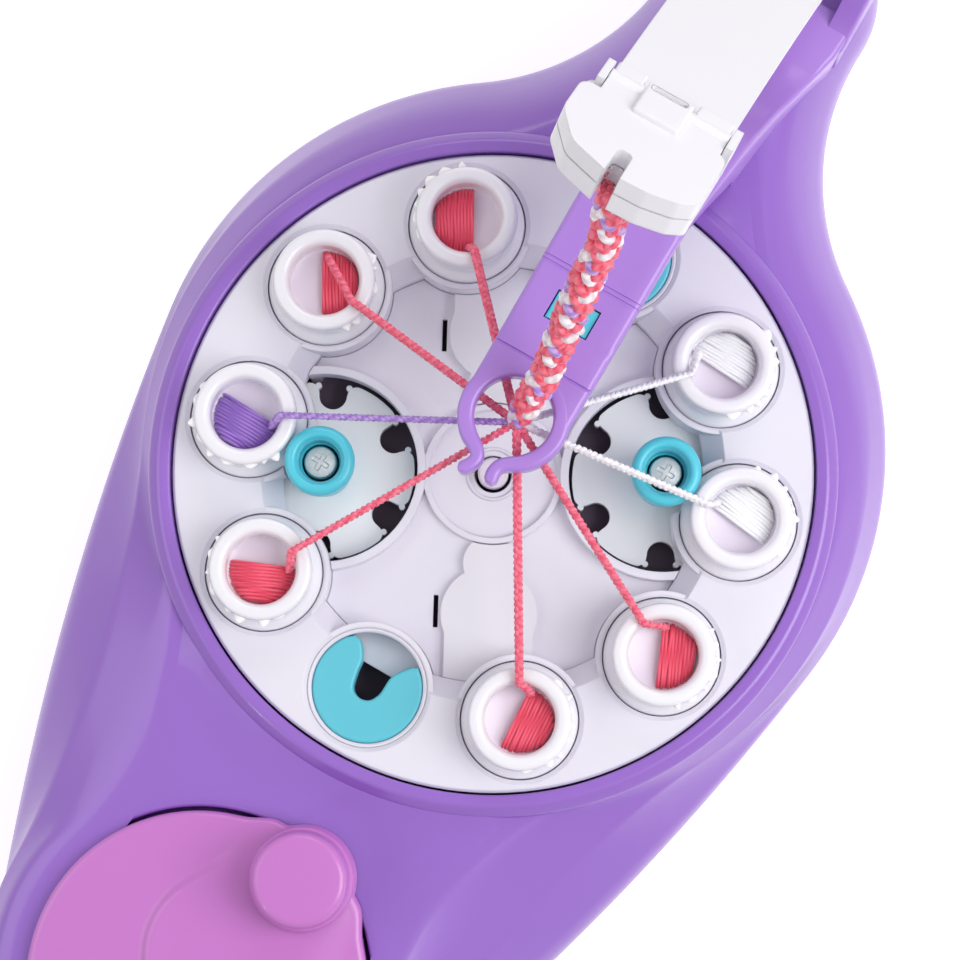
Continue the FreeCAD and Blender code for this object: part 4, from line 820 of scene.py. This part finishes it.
def cup_screw(side):
    """Domed head with a worn cross recess, and its shank."""
    soup = Soup()
    centre = ROTORS[side]
    head, shank, cross_half, cross_reach = 3.8, 1.5, 0.5, 2.1
    top, underside, tip = 58.4, 54.5, 36.2
    steps, count = 12, 64
    rows = []
    for step in range(steps + 1):
        radius = head * step / steps
        row = []
        for k in range(count):
            point = polar(radius, 360 * k / count)
            cross = min(abs(point.x), abs(point.y)) < cross_half and radius < cross_reach
            fall = 0.5 * (radius / head) ** 2 + (0.5 if step == steps else 0.0)
            row.append(centre + point + Vector((0, 0, top - fall - (0.25 if cross else 0.0))))
        rows.append(row)
    for radius, height in ((head, underside), (shank, underside), (shank, tip)):
        rows.append([centre + polar(radius, 360 * k / count, height) for k in range(count)])
    soup.grid(rows[::-1], wrap=True)
    obj = soup.build(f"screw_{side}", [STEEL], 30)
    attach(obj, f"{side}_star")
    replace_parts(obj, f"cup_screw_{side}")


def seat(where):
    """Disc with a rounded notch that points to the table's centre."""
    soup = Soup()
    centre, heading = SEATS[where]
    rim = [polar(12.9, angle) for angle in range(52, 312, 6)]
    bends = [(9.9, -8.0), (9.2, -6.6), (7.2, -4.9), (4.6, -3.5), (0.3, -3.2), (-2.3, -1.8), (-2.9, 0.7),
             (-1.6, 2.8), (2.0, 3.8), (5.2, 4.3), (8.4, 6.4), (9.2, 8.4)]
    notch = curve_through([(x, y, 0) for x, y in bends], 0.5)
    outline = [centre + Matrix.Rotation(math.radians(heading), 3, "Z") @ p for p in rim + notch]
    pad(soup, outline, low=44.0, high=51.0, rounding=0.7)
    # Ledge of the pocket round the disc
    ledge = [(13.85, 46.0), (13.85, 51.4), (13.4, 51.4), (12.95, 51.0), (12.95, 46.0)]
    soup.lathe(ledge, centre, slot=1)
    obj = soup.build(f"seat_{where}", [TEAL_SEAT, TABLE], 35)
    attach(obj, "turntable")
    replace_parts(obj, f"pocket_seat_{where}")


def hub_core():
    """Pale core in the table's central bore, its white darkened to a painted shade."""
    soup = Soup()
    soup.lathe([(3.6, 42.0), (3.6, 46.3), (3.1, 46.8), (0.01, 46.8)], segments=64)
    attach(soup.build("hub_core", [WHITE_IN_PAINTED_SHADE], 35), "base")


hub_core()
for side in ROTORS:
    rotor_cup(side)
    cup_screw(side)
for where in SEATS:
    seat(where)


# Spools

SPOOL_PROFILE = rounded([(0.01, 43.1), (13.2, 43.1), (13.7, 46.0), (13.7, 50.6), (13.0, 51.7), (11.4, 53.0),
                         (11.1, 58.2), (11.9, 59.4), (11.9, 61.9), (11.4, 63.0), (9.0, 63.0), (8.1, 61.6),
                         (8.0, 45.0)], [0.4, 0.9, 0.7, 0.7, 0.9, 0.7, 0.7, 1.0, 1.2, 0.9, 0.7], 4)
# Directions of the ragged moulded edge on each rim, degrees
RAGGED = {"a": (120, 235), "b": (-40, 70), "c": (170, 330), "d": (170, 320), "e": (-60, 80), "f": (-50, 60),
          "g": (-20, 100), "h": (-60, 60)}


def ragged_edge(soup, letter, centre):
    """Thin burrs of uneven width, reach and lean round part of a spool's rim."""
    noise = random.Random(ord(letter))
    angle, end = RAGGED[letter]
    burrs = []
    while angle < end:
        wide = noise.uniform(7, 20)
        burrs.append((angle + wide / 2, wide / 2, noise.uniform(0.3, 1.7), noise.uniform(-0.6, 0.6)))
        angle += wide * noise.uniform(1.0, 1.9)
    edge, base_reach, slot = 11.4, 0.5, 2
    for middle, half, tall, lean in burrs:
        rows = []
        for reach, height in ((0.0, 61.6), (0.5, 61.9), (1.0, 61.7), (1.0, 61.3), (0.5, 61.0), (0.0, 60.6)):
            row = []
            for step in range(7):
                share = -1 + step / 3
                bump = max(0.0, 1 - abs(share + 0.5 * lean * (1 - abs(share)))) ** 0.7
                radius = edge + (base_reach + tall * bump) * reach
                drop = 0.5 * tall * reach * (1 - bump)
                row.append(centre + polar(radius, middle + half * share, height - drop))
            rows.append(row)
        soup.grid(rows, slot)


def spool(letter):
    soup = Soup()
    centre = polar(POCKET_CIRCLE, SPOOLS[letter])
    soup.lathe(SPOOL_PROFILE, centre)
    # Cheek that closes the bore beside the winding, its white darkened to a painted shade
    soup.lathe([(8.1, 56.6), (7.4, 56.2), (0.01, 56.2)], centre, segments=48, slot=1)
    ragged_edge(soup, letter, centre)
    obj = soup.build(f"bobbin_{letter}", [SPOOL, WHITE_IN_PAINTED_SHADE, FROSTED], 50)
    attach(obj, "turntable")
    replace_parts(obj, f"spool_{letter}")


for letter in SPOOLS:
    spool(letter)


# Windings

# Direction from a spool's centre towards its winding, and how far its flat side passes the centre
WINDINGS = {"a": (210.0, 1.6), "b": (30.0, 0.6), "c": (268.0, 1.8), "d": (293.0, 1.5), "e": (3.0, 1.0),
            "f": (22.0, 0.8), "g": (81.0, 1.4), "h": (87.0, 1.4)}


def wind(soup, letter):
    """Two layers of yarn across a spool's bore, each strand bowed up and falling at its ends."""
    noise = random.Random(ord(letter) * 7)
    direction, beyond = WINDINGS[letter]
    centre = polar(POCKET_CIRCLE, SPOOLS[letter])
    out = polar(1.0, direction)
    across = Vector((-out.y, out.x, 0))
    bore, play, margin, pitch, radius, bends = 7.9, 0.25, 0.7, 0.78, 0.47, 8
    for height, shift in ((57.2, 0.5), (57.8, 0.0)):
        place = -beyond + radius * 0.7 + shift * pitch
        while place < bore - margin:
            half = math.sqrt(bore ** 2 - place ** 2) - play
            sag = noise.uniform(-0.16, 0.16)
            lean = noise.uniform(-0.25, 0.25)
            points = []
            for k in range(bends + 1):
                t = -1 + 2 * k / bends
                bow = 0.35 * (1 - t * t)
                fall = 1.6 * abs(t) ** 5
                lift = Vector((0, 0, height + sag + bow - fall))
                points.append(centre + out * (place + lean * t) + across * (t * half) + lift)
            soup.tube(curve_through(points, 0.7), radius * noise.uniform(0.94, 1.06))
            place += pitch


for name, letters, material, slot in (("wound_pink", "abdef", WOUND_PINK, "pink_yarn"),
                                      ("wound_purple", "c", WOUND_PURPLE, "purple_yarn"),
                                      ("wound_white", "gh", WOUND_WHITE, "white_yarn")):
    soup = Soup()
    for letter in letters:
        wind(soup, letter)
    obj = soup.build(name + "_strands", [material], 60)
    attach(obj, "turntable")
    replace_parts(obj, name.replace("wound_", "") + "_windings")


# Threads

# Material of the threads that aren't pink
THREAD_LOOK = {"c": YARN_PURPLE, "g": YARN_WHITE, "h": YARN_WHITE}


def plait(soup, path, size):
    """Three thin strands plaited along a path."""
    lead, thick, swing, lift = 3.4 * size, 0.44 * size, 0.46 * size, 0.26 * size
    directions = frames(path)
    step = (path[1] - path[0]).length
    for k in range(3):
        strand = []
        for i, (point, (_, normal, binormal)) in enumerate(zip(path, directions)):
            turn = TAU * i * step / lead + TAU * k / 3
            strand.append(point + normal * (swing * math.sin(turn)) + binormal * (lift * math.sin(2 * turn)))
        soup.tube(strand, thick, 6)


def thread(letter):
    """Yarn from a corner of the winding over the spool's rim to the fell."""
    centre = polar(POCKET_CIRCLE, SPOOLS[letter])
    towards = Vector((FELL.x - centre.x, FELL.y - centre.y, 0)).normalized()
    direction, beyond = WINDINGS[letter]
    out = polar(1.0, direction)
    across = Vector((-out.y, out.x, 0))
    # Spool b's yarn leaves from the far corner
    nearer = -1.0 if across.dot(towards) < 0 and letter != "b" else 1.0
    # Heights where it leaves the winding, reaches the rim and passes over it
    leaves, reaches, passes = 58.3, 64.1, 65.3
    start = centre + out * (1.0 - beyond) + across * (6.4 * nearer) + Vector((0, 0, leaves))
    rim = centre + towards * 8.4 + Vector((0, 0, reaches))
    over = centre + towards * 11.4 + Vector((0, 0, passes))
    end = FELL + towards * 1.4 + Vector((0, 0, 1.6))
    near = over.lerp(FELL, 0.5)
    meet = FELL - towards * 1.6 - Vector((0, 0, 0.4))
    rising = start.lerp(rim, 0.5) + Vector((0, 0, 0.6))
    soup = Soup()
    plait(soup, curve_through([start, rising, rim, over, near, meet, end], 0.42), 1.25)
    obj = soup.build(f"strand_{letter}", [THREAD_LOOK.get(letter, YARN_PINK)], 60)
    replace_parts(obj, f"thread_{letter}")
    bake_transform(obj)


for letter in SPOOLS:
    thread(letter)


# Braid

# Directions of the clip: on past the strap's end, and down through the clip
ONWARD = Vector((0, -math.cos(CLIP_TILT), math.sin(CLIP_TILT)))
THROUGH = Vector((0, -math.sin(CLIP_TILT), -math.cos(CLIP_TILT)))
# The braid's end inside the clip, a little left of its middle
BRAID_TOP = STRAP_END + ONWARD * 15.5 - Vector((2.2, 0, 0)) + THROUGH * 4.5
# How far the braid bows out of the straight line, by share of its length, and where to
BOWS = [(0.0, 0.0), (0.1, 0.9), (0.2, 1.9), (0.35, 2.4), (0.5, 2.5), (0.65, 3.0), (0.8, 3.2), (0.9, 2.1),
        (1.0, 0.6)]
ASIDE = Vector((0.866, 0.5, 0))
# Material of the four strands of each sense: pink, white or purple
STRANDS = {1: [0, 1, 0, 0], -1: [0, 0, 1, 2]}


def braid_strand(path, length, sense, k, drift, swing):
    """One winding strand that passes over and under those of the other sense."""
    lead, size, wave = 15.0, 2.2, 0.6
    strand = []
    for i, (point, (_, normal, binormal)) in enumerate(zip(path, frames(path))):
        share = i / (len(path) - 1)
        turn = TAU * share * length / lead
        angle = sense * turn + TAU * k / 4 + 0.22 * math.sin(swing * 5 * share + drift)
        grow = lerp(0.55, 1.0, smoothstep(0.0, 0.12, share)) * lerp(1.0, 0.8, smoothstep(0.9, 1.0, share))
        wander = 0.18 * math.sin(9 * share * swing + drift)
        radius = (size + sense * wave * math.cos(4 * turn)) * grow + wander
        strand.append(around(point, normal, binormal, radius, angle))
    return strand


def loose_ends(soup, noise):
    """Short ends above the lid, in pink and white."""
    for k in range(9):
        fray = Vector((noise.uniform(-0.5, 0.9), noise.uniform(-0.5, 0.5), noise.uniform(0.2, 0.9)))
        aim = fray + ONWARD * 0.7
        start = BRAID_TOP - ONWARD * 2.5 + Vector((noise.uniform(-1.6, 1.6), noise.uniform(-1, 1), 0))
        end = start + aim * 4.2 + ONWARD * 0.8
        soup.tube(curve_through([start, start + aim * 2.2, end], 0.4), 0.34, 5, k % 2)


def braid():
    """Eight strands, four each way round."""
    soup = Soup()
    path = curve_through([FELL.lerp(BRAID_TOP, share) + ASIDE * bow for share, bow in BOWS], 0.5)
    length = (BRAID_TOP - FELL).length
    noise = random.Random(5)
    for sense, slots in STRANDS.items():
        for k, slot in enumerate(slots):
            drift, swing = noise.uniform(0, TAU), noise.uniform(0.8, 1.6)
            thick = 1.2 * noise.uniform(0.94, 1.08)

            def radius(share, thick=thick):
                return thick * lerp(0.8, 1.0, smoothstep(0.0, 0.1, share))

            soup.tube(braid_strand(path, length, sense, k, drift, swing), radius, slot=slot)
    loose_ends(soup, noise)
    return soup.build("braid_strands", [BRAID_PINK, BRAID_WHITE, BRAID_PURPLE], 60)


piece = braid()
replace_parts(piece, "braid", "fell_knot")
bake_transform(piece)


# Hinge of the clip, in the clip's frame: across, back along the strap, outwards

CLIP_PLACE = Matrix.Translation(STRAP_END * MM) @ Matrix.Rotation(-CLIP_TILT, 4, "X")


def rectangle(left, right, front, back, corner):
    """A closed anticlockwise outline with rounded corners."""
    middle = Vector(((left + right) / 2, front, 0))
    points = [middle, (right, front, 0), (right, back, 0), (left, back, 0), (left, front, 0), middle]
    return soften(points, corner, 4)[:-1]


def clip_part(name, body, outlines, low, high, holes=()):
    soup = Soup()
    for outline in outlines:
        pad(soup, outline, low, high, rounding=0.5, holes=holes)
    obj = soup.build(name, [STRAP], 35)
    obj.data.transform(CLIP_PLACE)
    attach(obj, body)


clip_part("hinge_tabs", "lever", [rectangle(-13.4, -6.8, 3.3, 7.2, 0.8), rectangle(5.2, 13.4, 3.3, 7.2, 0.8)],
          low=1.0, high=5.2)
clip_part("clip_tongue", "lid", [rectangle(-6.0, 4.4, -4.0, 5.2, 0.7)], low=3.8, high=5.9,
          holes=[rectangle(-4.8, 3.0, 3.6, 4.5, 0.3)])


# Floor, light and camera


def seen_strength(tree, extra, always):
    """A strength that is larger where it is only seen, so that white ground doesn't light the part."""
    rays = tree.nodes.new("ShaderNodeLightPath")
    seen = rays.outputs["Is Camera Ray"]
    for kind in ("Is Glossy Ray", "Is Transmission Ray"):
        either = tree.nodes.new("ShaderNodeMath")
        either.operation = "MAXIMUM"
        tree.links.new(seen, either.inputs[0])
        tree.links.new(rays.outputs[kind], either.inputs[1])
        seen = either.outputs[0]
    share = tree.nodes.new("ShaderNodeMath")
    share.operation = "MULTIPLY_ADD"
    share.inputs[1].default_value = extra
    share.inputs[2].default_value = always
    tree.links.new(seen, share.inputs[0])
    return share.outputs[0]


floor_mesh = bpy.data.meshes.new("floor")
reach = 3.0
corners = [(x * reach, y * reach, 0) for x, y in ((-1, -1), (1, -1), (1, 1), (-1, 1))]
floor_mesh.from_pydata(corners, [], [(0, 1, 2, 3)])
floor = bpy.data.objects.new("floor", floor_mesh)
bpy.context.scene.collection.objects.link(floor)
floor_material = plastic("floor_white", (252, 252, 252), roughness=0.9, coat=0.0, grain=0.0, edge=0)
floor_shader = floor_material.node_tree.nodes["Principled BSDF"]
floor_shader.inputs["Emission Color"].default_value = (1, 1, 1, 1)
floor_material.node_tree.links.new(seen_strength(floor_material.node_tree, 0.45, 0.0),
                                   floor_shader.inputs["Emission Strength"])
floor_mesh.materials.append(floor_material)

world = bpy.data.worlds.new("studio")
bpy.context.scene.world = world
world.use_nodes = True
background = world.node_tree.nodes["Background"]
background.inputs["Color"].default_value = (1, 1, 1, 1)
world.node_tree.links.new(seen_strength(world.node_tree, 0.6, 0.4), background.inputs["Strength"])


def soft_light(name, place, target, size, power):
    data = bpy.data.lights.new(name, "AREA")
    data.shape = "RECTANGLE"
    data.size, data.size_y = size
    data.energy = power
    obj = bpy.data.objects.new(name, data)
    obj.location = Vector(place) * MM
    obj.rotation_mode = "QUATERNION"
    obj.rotation_quaternion = (Vector(target) - Vector(place)).to_track_quat("-Z", "Y")
    bpy.context.scene.collection.objects.link(obj)


soft_light("key", (470, 130, 620), (0, -20, 40), (0.45, 0.6), 4.0)
soft_light("fill", (-520, -260, 560), (0, -20, 40), (0.5, 0.6), 1.2)
soft_light("back", (-200, 620, 600), (0, 20, 40), (0.6, 0.3), 1.3)
soft_light("strip", (-190, -560, 470), (0, -60, 50), (0.03, 0.3), 0.25)

camera_data = bpy.data.cameras.new("camera")
camera_data.lens = 113.0
camera_data.sensor_width = 36.0
camera_data.clip_start, camera_data.clip_end = 0.05, 10.0
camera = bpy.data.objects.new("camera", camera_data)
bpy.context.scene.collection.objects.link(camera)
camera_place, camera_target = Vector((39.5, -62.8, 752)), Vector((-1.5, -3.5, 52))
back = (camera_place - camera_target).normalized()
# The machine stands turned by 30 degrees in the picture
picture_up = Vector((-0.5, 0.866, 0))
right = picture_up.cross(back).normalized()
upward = back.cross(right)
turned = Matrix((right, upward, back)).transposed().to_4x4()
camera.matrix_world = Matrix.Translation(camera_place * MM) @ turned
bpy.context.scene.camera = camera
bpy.context.scene.view_settings.view_transform = "Standard"
